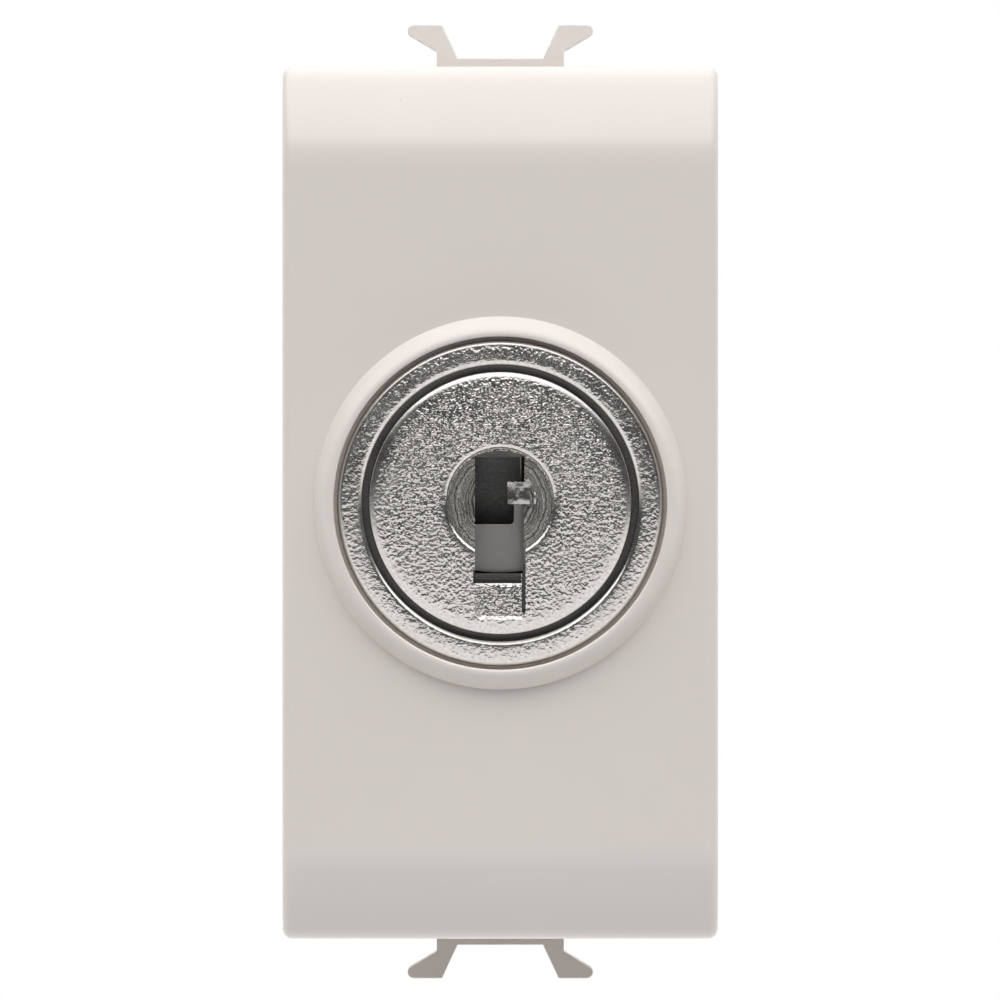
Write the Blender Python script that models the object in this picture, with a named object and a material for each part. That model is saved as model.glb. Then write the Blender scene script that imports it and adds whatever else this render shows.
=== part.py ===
"""Selector key switch: a one-module insert for a flush wiring-device frame.

Metres, +Z up. The front faces -Y, and the lock turns about the Y axis. The origin is on the
lock axis, in the plane where the mounting frame's flange rests on its support.
"""

import math

import bmesh
import bpy
from mathutils import Matrix, Vector

MM = 0.001

# Clearances
SEAM = 0.1 * MM  # between two faces that meet
SLIDE_FIT = 0.1 * MM  # on each side of a piece that slides or drops in
THREAD_FIT = 0.06 * MM  # around a screw or a nut's bore
OVERLAP = 0.4 * MM  # how far shapes that become one piece run into each other
PAST = 1.0 * MM  # how far a cutter runs past the face it opens
WELD = 0.0001 * MM  # points this close are one point

# Front cover
COVER_WIDTH = 22.4 * MM
COVER_HEIGHT = 44.8 * MM
COVER_DEPTH = 9.0 * MM
COVER_WALL = 1.4 * MM
COVER_FRONT_WALL = 2.0 * MM
COVER_EDGE_RADIUS = 0.45 * MM
END_CURVE_LENGTH = 5.1 * MM  # how much of each end curves back
END_CURVE_DROP = 1.95 * MM  # how far back it comes
COLLAR_WIDTH = 1.03 * MM
COLLAR_HEIGHT = 1.0 * MM
COLLAR_CREST_WIDTH = 0.15 * MM

# Mounting frame
FLANGE_THICKNESS = 2.0 * MM
FLANGE_INSET = 0.3 * MM  # inside the cover's outline
RIM_HEIGHT = 2.4 * MM  # the rim that the cover is pushed over
RIM_WALL = 1.3 * MM
SNAP_LENGTH = 3.2 * MM
SNAP_HEIGHT = 0.35 * MM
SNAP_WIDTH = 0.9 * MM
SNAP_Z = 13.2 * MM
RAIL_GAP = 2.2 * MM  # room for the support's rail, between flange and ears
EAR_DEPTH = 3.0 * MM
EAR_STEM_HALF_WIDTH = 3.3 * MM
EAR_REACH = 4.82 * MM  # from the middle to an ear's tip
EAR_TIP_RADIUS = 0.32 * MM
EAR_TOP = 2.37 * MM  # above the cover's edge
EAR_NOTCH_TOP = 0.97 * MM
EAR_GAP_FLOOR = 0.63 * MM
EAR_GAP_FLOOR_HALF_WIDTH = 2.22 * MM
EAR_GAP_MOUTH_HALF_WIDTH = 3.03 * MM

# Rear housing
HOUSING_SIDE_INSET = 0.5 * MM  # inside the cover's outline
HOUSING_END_INSET = 2.4 * MM
HOUSING_WALL = 1.4 * MM
HOUSING_REAR_WALL = 1.4 * MM
HOUSING_EDGE_RADIUS = 0.5 * MM
HOUSING_CHAMFER = 2.0 * MM  # along the rear's upper and lower edge
SIDE_PANEL_DEPTH = 0.4 * MM
SIDE_PANEL_MARGIN = 2.4 * MM
CARRIER_LEDGE = 0.7 * MM  # the step that the contact carrier rests on
PARTITION_WALL = 1.0 * MM
TONGUE_WALL = 1.0 * MM

# Lock
LOCK_RECESS = 0.15 * MM  # of its face below the collar's crest
HEAD_RADIUS = 0.3018 * COVER_WIDTH
HEAD_LENGTH = 2.4 * MM
HEAD_BEVEL = 0.42 * MM
HEAD_SHOULDER = 0.76 * MM
HEAD_GAP = 0.34 * MM
RING_WIDTH = 1.25 * MM
RING_BEVEL = 0.2 * MM
RING_THICKNESS = 1.9 * MM
RING_GAP = 0.21 * MM
BARREL_WALL = 1.7 * MM
LUG_WIDTH = 2.2 * MM
LUG_HEIGHT = 0.45 * MM
NUT_ROOM = 0.54 * MM  # around it, inside the cover
NUT_THICKNESS = 2.5 * MM
NUT_SLOT_WIDTH = 1.6 * MM
NUT_SLOT_DEPTH = 1.1 * MM
NUT_SLOTS = 6

# Key opening
KEYHOLE_RADIUS = 2.72 * MM
KEYHOLE_DEPTH = 0.9 * MM
KEYHOLE_CHAMFER = 0.22 * MM
KEYWAY_WIDTH = 2.62 * MM
KEYWAY_TOP = 2.35 * MM  # above the axis
KEYWAY_FLOOR = 4.2 * MM  # below the axis
RAMP_FOOT = HEAD_RADIUS - 0.76 * MM  # below the axis, at the face
RAMP_DEPTH = 1.7 * MM
WARD_REACH = 0.9 * MM
WARD_LOW = 0.1 * MM
WARD_HIGH = 1.0 * MM
WARD_LENGTH = 1.3 * MM

# Wafers
WAFER_COUNT = 5
WAFER_PITCH = 2.1 * MM
WAFER_THICKNESS = 1.0 * MM
WAFER_WIDTH = 5.2 * MM
WAFER_FOOT = 3.6 * MM  # below the axis
WAFER_FOOT_RADIUS = 8.0 * MM
WAFER_WINDOW_LEFT = 1.7 * MM
WAFER_WINDOW_RIGHT = 0.69 * MM
WAFER_WINDOW_FLOOR = 1.1 * MM  # below the axis
WAFER_WINDOW_TOP = 3.4 * MM
WAFER_LIFT = 0.6 * MM
WAFER_EAR_REACH = 1.5 * MM
WAFER_EAR_LOW = 1.0 * MM
WAFER_EAR_HIGH = 2.0 * MM
WAFER_SPRING_LENGTH = 3.4 * MM
WAFER_SPRING_WIRE = 0.2 * MM
WAFER_SPRING_CURLS = 4

# Rotor tail, retaining clip and cam
ROTOR_END_WALL = 1.6 * MM
NECK_GROOVE = 1.2 * MM  # below the rotor's surface
NECK_LENGTH = 0.9 * MM
CLIP_THICKNESS = 0.7 * MM
CLIP_WIDTH = 2.0 * MM
CLIP_OPENING = math.radians(70)
SHOULDER_STEP = 0.4 * MM  # below the rotor's surface
SHOULDER_LENGTH = 0.7 * MM
TAIL_WIDTH = 3.6 * MM
CAM_GAP = 0.5 * MM  # between its rim and the housing
CAM_THICKNESS = 4.2 * MM
CAM_RECESS_RADIUS = 3.1 * MM
CAM_RECESS_DEPTH = 1.7 * MM
CAM_RIM = 0.5 * MM  # wall outside the groove's outer end
GROOVE_DEPTH = 1.9 * MM
GROOVE_INNER_WALL = 0.3 * MM  # between its inner end and the screw recess
CAM_SCREW_HEAD_RADIUS = 2.8 * MM
CAM_SCREW_HEAD_HEIGHT = 1.3 * MM
CAM_SCREW_RADIUS = 0.95 * MM
KEY_TURN = math.radians(90)
NOTCH_DEPTH = 0.6 * MM
NOTCH_HALF_WIDTH = 1.05 * MM
DETENT_WIDTH = 2.0 * MM
DETENT_THICKNESS = 0.3 * MM
DETENT_BUMP_HALF_WIDTH = 2.2 * MM
DETENT_DROP = 0.55 * MM  # of the leaf below the cam's rim
DETENT_LEDGE_WIDTH = 1.6 * MM
DETENT_LEDGE_HEIGHT = 1.0 * MM

# Slider and moving contacts
SLIDER_SIDE_GAP = 0.25 * MM  # to the fixed contacts
SLIDER_THICKNESS = 3.9 * MM
SLIDER_END = 1.4 * MM  # material past each contact window
PIN_RADIUS = 0.9 * MM
BRIDGE_END = 0.55 * MM  # of the bar past its contact's tip
BRIDGE_WIDTH = 2.4 * MM
BRIDGE_THICKNESS = 0.8 * MM
TIP_RADIUS = 1.1 * MM
TIP_HEIGHT = 0.4 * MM
BRIDGE_SPRING_LENGTH = 3.4 * MM
BRIDGE_SPRING_RADIUS = 0.75 * MM
BRIDGE_SPRING_WIRE = 0.3 * MM
BRIDGE_SPRING_CURLS = 4

# Contact carrier, terminals and their screws
CARRIER_THICKNESS = 1.8 * MM
GUIDE_WALL = 1.0 * MM
GUIDE_LENGTH = 8.0 * MM
GUIDE_HEIGHT = 3.4 * MM
CARRIER_SCREW_EDGE = 2.3 * MM  # from the housing's wall to the screw's axis
CARRIER_SCREW_RADIUS = 0.8 * MM
CARRIER_SCREW_HEAD_RADIUS = 1.7 * MM
CARRIER_SCREW_HEAD_HEIGHT = 1.2 * MM
CARRIER_SCREW_LENGTH = 7.0 * MM
POST_WALL = 0.9 * MM
TERMINAL_EDGE = 3.2 * MM  # from the rear room's end wall to the screw's axis
TERMINAL_METAL = 0.8 * MM
CONTACT_ARM_WIDTH = 3.4 * MM
CONTACT_ARM_SETBACK = 2.5 * MM  # from the screw's axis to the contact arm
TERMINAL_STANDOFF = 2.2 * MM
TERMINAL_SEAT_TOP = 2.8 * MM  # past the screw's axis
CLAMP_THICKNESS = 1.0 * MM
CLAMP_WIDTH = 4.6 * MM
CLAMP_TRAVEL = 3.4 * MM
CLAMP_LEAST_ROOM = 0.8 * MM  # left for a wire with the screw driven home
TERMINAL_SCREW_RADIUS = 1.25 * MM
TERMINAL_SCREW_HEAD_RADIUS = 2.4 * MM
TERMINAL_SCREW_HEAD_HEIGHT = 2.4 * MM
SCREW_SLOT_WIDTH = 0.7 * MM
SCREW_SLOT_SHARE = 0.45  # of the head's height
SCREW_OPENING_GAP = 0.3 * MM
WIRE_HOLE_RADIUS = 1.35 * MM
WIRE_HOLE_OFFSET = 2.5 * MM

# Planes along Y, from the front to the back
FLANGE_FRONT = -FLANGE_THICKNESS
COVER_BACK = FLANGE_FRONT - SEAM
COVER_FRONT = COVER_BACK - COVER_DEPTH
COVER_INSIDE = COVER_FRONT + COVER_FRONT_WALL
COLLAR_CREST = COVER_FRONT - COLLAR_HEIGHT
LOCK_FACE = COLLAR_CREST + LOCK_RECESS
RING_BACK = LOCK_FACE + RING_THICKNESS
RING_SEAT = RING_BACK + SEAM
NUT_FRONT = COVER_INSIDE + SEAM
HEAD_BACK = LOCK_FACE + HEAD_LENGTH
FIRST_WAFER = HEAD_BACK + WAFER_PITCH / 2
LAST_WAFER = FIRST_WAFER + (WAFER_COUNT - 1) * WAFER_PITCH
KEYWAY_END = LAST_WAFER + WAFER_PITCH / 2
ROTOR_BACK = KEYWAY_END + ROTOR_END_WALL
BARREL_BACK = ROTOR_BACK - SEAM / 2
NECK_BACK = ROTOR_BACK + NECK_LENGTH
SHOULDER_BACK = NECK_BACK + SHOULDER_LENGTH
CAM_FRONT = SHOULDER_BACK + SEAM
CAM_BACK = CAM_FRONT + CAM_THICKNESS
CAM_RECESS_FLOOR = CAM_BACK - CAM_RECESS_DEPTH
TAIL_BACK = CAM_RECESS_FLOOR - SEAM
SLIDER_FRONT = CAM_BACK + SLIDE_FIT
SLIDER_BACK = SLIDER_FRONT + SLIDER_THICKNESS
CONTACT_Y = (SLIDER_FRONT + SLIDER_BACK) / 2
CARRIER_FRONT = SLIDER_BACK + SLIDE_FIT
CARRIER_BACK = CARRIER_FRONT + CARRIER_THICKNESS
TERMINAL_SEAT_FRONT = CARRIER_BACK + TERMINAL_STANDOFF
TERMINAL_SEAT_BACK = TERMINAL_SEAT_FRONT + TERMINAL_METAL
CLAMP_FRONT = TERMINAL_SEAT_BACK + CLAMP_LEAST_ROOM + CLAMP_TRAVEL
CLAMP_BACK = CLAMP_FRONT + CLAMP_THICKNESS
SCREW_HEAD_FRONT = CLAMP_BACK + SEAM
SCREW_HEAD_BACK = SCREW_HEAD_FRONT + TERMINAL_SCREW_HEAD_HEIGHT
HOUSING_INSIDE_BACK = SCREW_HEAD_BACK + SCREW_OPENING_GAP
HOUSING_BACK = HOUSING_INSIDE_BACK + HOUSING_REAR_WALL
EAR_FRONT = RAIL_GAP
EAR_BACK = EAR_FRONT + EAR_DEPTH
SLEEVE_BACK = EAR_BACK + SEAM
HOUSING_FRONT = SLEEVE_BACK + SEAM
DETENT_MIDDLE = (max(CAM_FRONT, HOUSING_FRONT) + CAM_BACK) / 2

# Half sizes of the shells
COVER_HALF_WIDTH = COVER_WIDTH / 2
COVER_HALF_HEIGHT = COVER_HEIGHT / 2
RIM_HALF_WIDTH = COVER_HALF_WIDTH - COVER_WALL - SLIDE_FIT
RIM_HALF_HEIGHT = COVER_HALF_HEIGHT - COVER_WALL - SLIDE_FIT
HOUSING_HALF_WIDTH = COVER_HALF_WIDTH - HOUSING_SIDE_INSET
HOUSING_HALF_HEIGHT = COVER_HALF_HEIGHT - HOUSING_END_INSET
ROOM_HALF_WIDTH = HOUSING_HALF_WIDTH - HOUSING_WALL
ROOM_HALF_HEIGHT = HOUSING_HALF_HEIGHT - HOUSING_WALL
REAR_ROOM_HALF_WIDTH = ROOM_HALF_WIDTH - CARRIER_LEDGE
REAR_ROOM_HALF_HEIGHT = ROOM_HALF_HEIGHT - CARRIER_LEDGE

# Radii about the lock axis
ROTOR_RADIUS = HEAD_RADIUS - HEAD_SHOULDER
NECK_RADIUS = ROTOR_RADIUS - NECK_GROOVE
SHOULDER_RADIUS = ROTOR_RADIUS - SHOULDER_STEP
BORE_RADIUS = ROTOR_RADIUS + SLIDE_FIT
BARREL_RADIUS = BORE_RADIUS + BARREL_WALL
HEAD_BORE_RADIUS = HEAD_RADIUS + HEAD_GAP
RING_RADIUS = HEAD_BORE_RADIUS + RING_WIDTH
COLLAR_INNER_RADIUS = RING_RADIUS + RING_GAP
COLLAR_OUTER_RADIUS = COLLAR_INNER_RADIUS + COLLAR_WIDTH
NUT_RADIUS = COVER_HALF_WIDTH - COVER_WALL - NUT_ROOM
WAFER_TOP_RADIUS = ROTOR_RADIUS - SLIDE_FIT / 2
LOCKING_GROOVE_REACH = WAFER_TOP_RADIUS + WAFER_LIFT + SLIDE_FIT
CAM_RADIUS = ROOM_HALF_WIDTH - CAM_GAP
GROOVE_HALF_WIDTH = PIN_RADIUS + SLIDE_FIT
GROOVE_START = CAM_RADIUS - CAM_RIM - GROOVE_HALF_WIDTH
GROOVE_END = CAM_RECESS_RADIUS + GROOVE_INNER_WALL + GROOVE_HALF_WIDTH

# Places across and up that several pieces share
CARRIER_SCREW_X = ROOM_HALF_WIDTH - CARRIER_SCREW_EDGE
TERMINAL_X = (PARTITION_WALL / 2 + REAR_ROOM_HALF_WIDTH) / 2
TERMINAL_Z = REAR_ROOM_HALF_HEIGHT - TERMINAL_EDGE
CONTACT_ARM_HIGH = TERMINAL_Z - CONTACT_ARM_SETBACK
CONTACT_ARM_LOW = CONTACT_ARM_HIGH - TERMINAL_METAL
FIXED_TIP_Z = CONTACT_ARM_LOW - TIP_HEIGHT
SLIDER_TRAVEL = GROOVE_START - GROOVE_END
SLIDER_MIDDLE = SLIDER_TRAVEL / 2
SLIDER_HALF_WIDTH = TERMINAL_X - CONTACT_ARM_WIDTH / 2 - SLIDER_SIDE_GAP
CONTACT_REACH = FIXED_TIP_Z - SLIDER_MIDDLE - SEAM / 2  # from the slider's middle to a moving tip
BRIDGE_HALF_LENGTH = TERMINAL_X + TIP_RADIUS + BRIDGE_END
BRIDGE_OUTER = CONTACT_REACH - TIP_HEIGHT
BRIDGE_INNER = BRIDGE_OUTER - BRIDGE_THICKNESS
WINDOW_OUTER = BRIDGE_OUTER + SEAM / 2
WINDOW_INNER = BRIDGE_INNER - BRIDGE_SPRING_LENGTH - SEAM
SLIDER_HALF_HEIGHT = WINDOW_OUTER + SLIDER_END
WIRE_Y = (TERMINAL_SEAT_BACK + CLAMP_FRONT) / 2
DETENT_TOP = -(CAM_RADIUS + DETENT_DROP)
WAFER_SPRING_X = -(WAFER_WIDTH / 2 + WAFER_EAR_REACH / 2)
SPRING_POINTS_PER_CURL = 8

# Facets of round shapes
LARGE_ROUND = 48
SMALL_ROUND = 20
CORNER_STEPS = 8


def finish(name, colour, roughness, metallic=0.0):
    """Plain material for one kind of piece."""
    material = bpy.data.materials.new(name)
    material.use_nodes = True
    shader = material.node_tree.nodes["Principled BSDF"]
    shader.inputs["Base Color"].default_value = (*colour, 1.0)
    shader.inputs["Roughness"].default_value = roughness
    shader.inputs["Metallic"].default_value = metallic
    return material


def new_object(name, shape):
    """Object that holds a finished bmesh, with its faces pointing out."""
    bmesh.ops.remove_doubles(shape, verts=shape.verts, dist=WELD)
    bmesh.ops.recalc_face_normals(shape, faces=shape.faces)
    mesh = bpy.data.meshes.new(name)
    shape.to_mesh(mesh)
    shape.free()
    piece = bpy.data.objects.new(name, mesh)
    bpy.context.scene.collection.objects.link(piece)
    return piece


def prism(name, outline, low, high, axis="Y"):
    """Outline pushed along an axis. Its points are (x, z) along Y, (y, z) along X and (x, y) along Z."""
    place = {
        "X": lambda u, v: (low, u, v),
        "Y": lambda u, v: (u, low, v),
        "Z": lambda u, v: (u, v, low),
    }[axis]
    step = {"X": (1, 0, 0), "Y": (0, 1, 0), "Z": (0, 0, 1)}[axis]
    shape = bmesh.new()
    face = shape.faces.new([shape.verts.new(place(u, v)) for u, v in outline])
    pushed = bmesh.ops.extrude_face_region(shape, geom=[face])["geom"]
    moved = [item for item in pushed if isinstance(item, bmesh.types.BMVert)]
    bmesh.ops.translate(shape, verts=moved, vec=Vector(step) * (high - low))
    return new_object(name, shape)


def box(name, x, y, z):
    """Block between the given pairs of coordinates."""
    outline = [(x[0], z[0]), (x[1], z[0]), (x[1], z[1]), (x[0], z[1])]
    return prism(name, outline, y[0], y[1])


def turned(name, profile, rounds, centre=(0.0, 0.0)):
    """Profile of (radius, y) points turned about a line along Y through centre, an (x, z) point."""
    shape = bmesh.new()
    verts = [shape.verts.new((centre[0] + radius, y, centre[1])) for radius, y in profile]
    edges = [shape.edges.new(pair) for pair in zip(verts, verts[1:])]
    if profile[0][0] > 0.0 or profile[-1][0] > 0.0:
        edges.append(shape.edges.new((verts[-1], verts[0])))
    bmesh.ops.spin(
        shape,
        geom=verts + edges,
        cent=(centre[0], 0.0, centre[1]),
        axis=(0.0, 1.0, 0.0),
        angle=math.tau,
        steps=rounds,
        use_merge=True,
    )
    return new_object(name, shape)


def rod(name, radius, y, rounds=SMALL_ROUND, centre=(0.0, 0.0)):
    """Plain cylinder along Y."""
    return turned(name, [(0.0, y[0]), (radius, y[0]), (radius, y[1]), (0.0, y[1])], rounds, centre)


def combine(piece, operation, *tools):
    """Boolean of a piece with each tool in turn, in millimetres for accuracy. The tools are used up."""
    for shape in (piece, *tools):
        shape.data.transform(Matrix.Scale(1 / MM, 4))
    for tool in tools:
        modifier = piece.modifiers.new(tool.name, "BOOLEAN")
        modifier.operation = operation
        modifier.solver = "EXACT"
        modifier.object = tool
    settle(piece).data.transform(Matrix.Scale(MM, 4))
    for tool in tools:
        bpy.data.objects.remove(tool)
    return piece


def cut(piece, *tools):
    return combine(piece, "DIFFERENCE", *tools)


def join(piece, *tools):
    return combine(piece, "UNION", *tools)


def soften(piece, width, steps=2):
    """Rounds the sharp edges of a piece."""
    modifier = piece.modifiers.new("edges", "BEVEL")
    modifier.width = width
    modifier.segments = steps
    modifier.limit_method = "ANGLE"
    modifier.angle_limit = math.radians(35)
    return settle(piece)


def settle(piece):
    """Gives a piece the mesh that its modifiers make, and drops them."""
    bpy.context.view_layer.update()
    graph = bpy.context.evaluated_depsgraph_get()
    mesh = bpy.data.meshes.new_from_object(piece.evaluated_get(graph))
    piece.modifiers.clear()
    piece.data = mesh
    return piece


def dress(piece, material, parent=None):
    """Material, shading and parent of a finished piece."""
    piece.data.materials.clear()
    piece.data.materials.append(material)
    if piece.type == "MESH":
        piece.data.shade_smooth()
        piece.data.set_sharp_from_angle(angle=math.radians(30))
    piece.parent = parent
    return piece


def empty(name, place=(0.0, 0.0, 0.0)):
    """Empty on a joint's axis, which its moving pieces hang from."""
    holder = bpy.data.objects.new(name, None)
    holder.location = place
    bpy.context.scene.collection.objects.link(holder)
    return holder


def arc(centre, radius, start, end, steps):
    """Points of an arc, from one angle to another."""
    angles = [start + (end - start) * step / steps for step in range(steps + 1)]
    return [(centre[0] + radius * math.cos(a), centre[1] + radius * math.sin(a)) for a in angles]


def spring(name, middle, low, high, radius, wire, curls):
    """Coil spring along Z about middle, an (x, y) point. It prints the least gap between its turns."""
    steps = curls * SPRING_POINTS_PER_CURL
    rise = high - low - wire
    points = []
    for step in range(steps + 1):
        angle = math.tau * step / SPRING_POINTS_PER_CURL
        x = middle[0] + radius * math.cos(angle)
        y = middle[1] + radius * math.sin(angle)
        points.append(Vector((x, y, low + wire / 2 + rise * step / steps)))
    data = bpy.data.curves.new(name, "CURVE")
    data.dimensions = "3D"
    data.bevel_depth = wire / 2
    data.bevel_resolution = 1
    data.use_fill_caps = True
    path = data.splines.new("POLY")
    path.points.add(steps)
    for target, point in zip(path.points, points):
        target.co = (*point, 1.0)
    piece = bpy.data.objects.new(name, data)
    bpy.context.scene.collection.objects.link(piece)
    apart = SPRING_POINTS_PER_CURL // 2
    least = min((b - a).length for i, a in enumerate(points) for b in points[i + apart :])
    print(f"{name}: least gap between turns {(least - wire) / MM:.2f} mm")
    return piece


def cover_section(inset, front, back):
    """Side view of the cover as (y, z) points: flat front, ends that curve back, straight walls."""
    radius = (END_CURVE_LENGTH**2 + END_CURVE_DROP**2) / (2 * END_CURVE_DROP)
    flat = COVER_HALF_HEIGHT - END_CURVE_LENGTH
    centre = COVER_FRONT + radius
    reach = centre - front
    sweep = math.asin((END_CURVE_LENGTH - inset) / reach)
    end = [(centre - reach * math.cos(a), flat + reach * math.sin(a)) for a in sweep_angles(sweep)]
    half = end + [(back, COVER_HALF_HEIGHT - inset)]
    return half + [(y, -z) for y, z in reversed(half)]


def sweep_angles(sweep):
    return [sweep * step / CORNER_STEPS for step in range(CORNER_STEPS + 1)]


def front_cover(material):
    """Cover shell with its collar, the stepped hole for the lock and recesses for the frame's snaps."""
    section = cover_section(0.0, COVER_FRONT, COVER_BACK)
    cover = prism("front_cover", section, -COVER_HALF_WIDTH, COVER_HALF_WIDTH, "X")
    soften(cover, COVER_EDGE_RADIUS)
    inside = cover_section(COVER_WALL, COVER_INSIDE, COVER_BACK + PAST)
    half_room = COVER_HALF_WIDTH - COVER_WALL
    cut(cover, prism("room", inside, -half_room, half_room, "X"))
    join(cover, collar())
    hole_profile = [
        (0.0, COLLAR_CREST - PAST),
        (COLLAR_INNER_RADIUS, COLLAR_CREST - PAST),
        (COLLAR_INNER_RADIUS, RING_SEAT),
        (BARREL_RADIUS + SLIDE_FIT, RING_SEAT),
        (BARREL_RADIUS + SLIDE_FIT, COVER_INSIDE + PAST),
        (0.0, COVER_INSIDE + PAST),
    ]
    hole = turned("hole", hole_profile, LARGE_ROUND)
    cut(cover, hole, lug("lug_notch", SLIDE_FIT, COVER_INSIDE + PAST))
    recesses = [snap("recess", SLIDE_FIT, side, level) for side in (-1, 1) for level in (-1, 1)]
    cut(cover, *recesses)
    return dress(cover, material)


def collar():
    """Raised ring around the lock, as a low dome before the hole is cut."""
    rise = COLLAR_WIDTH - COLLAR_CREST_WIDTH
    crest_end = COLLAR_OUTER_RADIUS - rise
    profile = [(0.0, COLLAR_CREST)]
    for angle in (math.pi / 2 * step / CORNER_STEPS for step in range(CORNER_STEPS + 1)):
        radius = crest_end + rise * math.sin(angle)
        profile.append((radius, COVER_FRONT - COLLAR_HEIGHT * math.cos(angle)))
    profile += [(COLLAR_OUTER_RADIUS, COVER_FRONT + OVERLAP), (0.0, COVER_FRONT + OVERLAP)]
    return turned("collar", profile, LARGE_ROUND)


def lug(name, gap, back):
    """Rib under the lock's flange that keeps the barrel from turning in the cover, or its notch."""
    half = LUG_WIDTH / 2 + gap
    reach = BARREL_RADIUS + LUG_HEIGHT + gap
    return box(name, (-half, half), (RING_BACK - OVERLAP, back), (-reach, -BARREL_RADIUS + OVERLAP))


def snap(name, gap, side, level):
    """Low rib on the frame's rim that holds the cover, or the recess that takes it."""
    middle = FLANGE_FRONT - RIM_HEIGHT / 2
    x = sorted((side * (RIM_HALF_WIDTH - OVERLAP), side * (RIM_HALF_WIDTH + SNAP_HEIGHT + gap)))
    y = (middle - SNAP_WIDTH / 2 - gap, middle + SNAP_WIDTH / 2 + gap)
    z = (level * SNAP_Z - SNAP_LENGTH / 2 - gap, level * SNAP_Z + SNAP_LENGTH / 2 + gap)
    return box(name, x, y, z)


def mounting_frame(material):
    """Flange with the rim for the cover, the sleeve behind it, and the snap ears above and below."""
    flange_x = COVER_HALF_WIDTH - FLANGE_INSET
    flange_z = COVER_HALF_HEIGHT - FLANGE_INSET
    frame = box("mounting_frame", (-flange_x, flange_x), (FLANGE_FRONT, 0.0), (-flange_z, flange_z))
    rim_y = (FLANGE_FRONT - RIM_HEIGHT, FLANGE_FRONT + OVERLAP)
    rim = box("rim", (-RIM_HALF_WIDTH, RIM_HALF_WIDTH), rim_y, (-RIM_HALF_HEIGHT, RIM_HALF_HEIGHT))
    sleeve_x = (-HOUSING_HALF_WIDTH, HOUSING_HALF_WIDTH)
    sleeve_z = (-HOUSING_HALF_HEIGHT, HOUSING_HALF_HEIGHT)
    sleeve = box("sleeve", sleeve_x, (-OVERLAP, SLEEVE_BACK), sleeve_z)
    join(frame, rim, sleeve, ears("upper_ears", 1), ears("lower_ears", -1))
    front_x = RIM_HALF_WIDTH - RIM_WALL
    front_z = ROOM_HALF_HEIGHT - SEAM
    front_room = box("front_room", (-front_x, front_x), (rim_y[0] - PAST, OVERLAP), (-front_z, front_z))
    room_x = (-ROOM_HALF_WIDTH, ROOM_HALF_WIDTH)
    room_z = (-ROOM_HALF_HEIGHT, ROOM_HALF_HEIGHT)
    cut(frame, front_room, box("room", room_x, (0.0, SLEEVE_BACK + PAST), room_z))
    for side in (-1, 1):
        for level in (-1, 1):
            join(frame, snap("snap", 0.0, side, level))
            cut(frame, tongue_hook("window", SLIDE_FIT, PAST, side, level))
    return dress(frame, material)


def ears(name, level):
    """One clip: a stem with two ears that spread behind the support's rail. Level is 1 above, -1 below."""
    edge = COVER_HALF_HEIGHT
    tip = (EAR_REACH - EAR_TIP_RADIUS, edge + EAR_TOP - EAR_TIP_RADIUS)
    slant = math.atan2(tip[1] - EAR_TIP_RADIUS - edge - EAR_NOTCH_TOP, tip[0] - EAR_STEM_HALF_WIDTH)
    half = [
        (EAR_STEM_HALF_WIDTH, HOUSING_HALF_HEIGHT - OVERLAP),
        (EAR_STEM_HALF_WIDTH, edge + EAR_NOTCH_TOP),
        *arc(tip, EAR_TIP_RADIUS, slant - math.pi / 2, math.pi / 2, 5),
        (EAR_GAP_MOUTH_HALF_WIDTH, edge + EAR_TOP),
        (EAR_GAP_FLOOR_HALF_WIDTH, edge + EAR_GAP_FLOOR),
    ]
    outline = half + [(-x, z) for x, z in reversed(half)]
    return prism(name, [(x, level * z) for x, z in outline], EAR_FRONT, EAR_BACK)


def tongue_hook(name, gap, past, side, level):
    """Hook on one of the housing's tongues, or the window in the frame's sleeve that takes it."""
    middle = EAR_FRONT
    inner = ROOM_HALF_WIDTH - SLIDE_FIT - OVERLAP
    outer = HOUSING_HALF_WIDTH - SLIDE_FIT + past
    x = sorted((side * inner, side * outer))
    y = (middle - SNAP_WIDTH / 2 - gap, middle + SNAP_WIDTH / 2 + gap)
    z = (level * SNAP_Z - SNAP_LENGTH / 2 - gap, level * SNAP_Z + SNAP_LENGTH / 2 + gap)
    return box(name, x, y, z)


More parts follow.
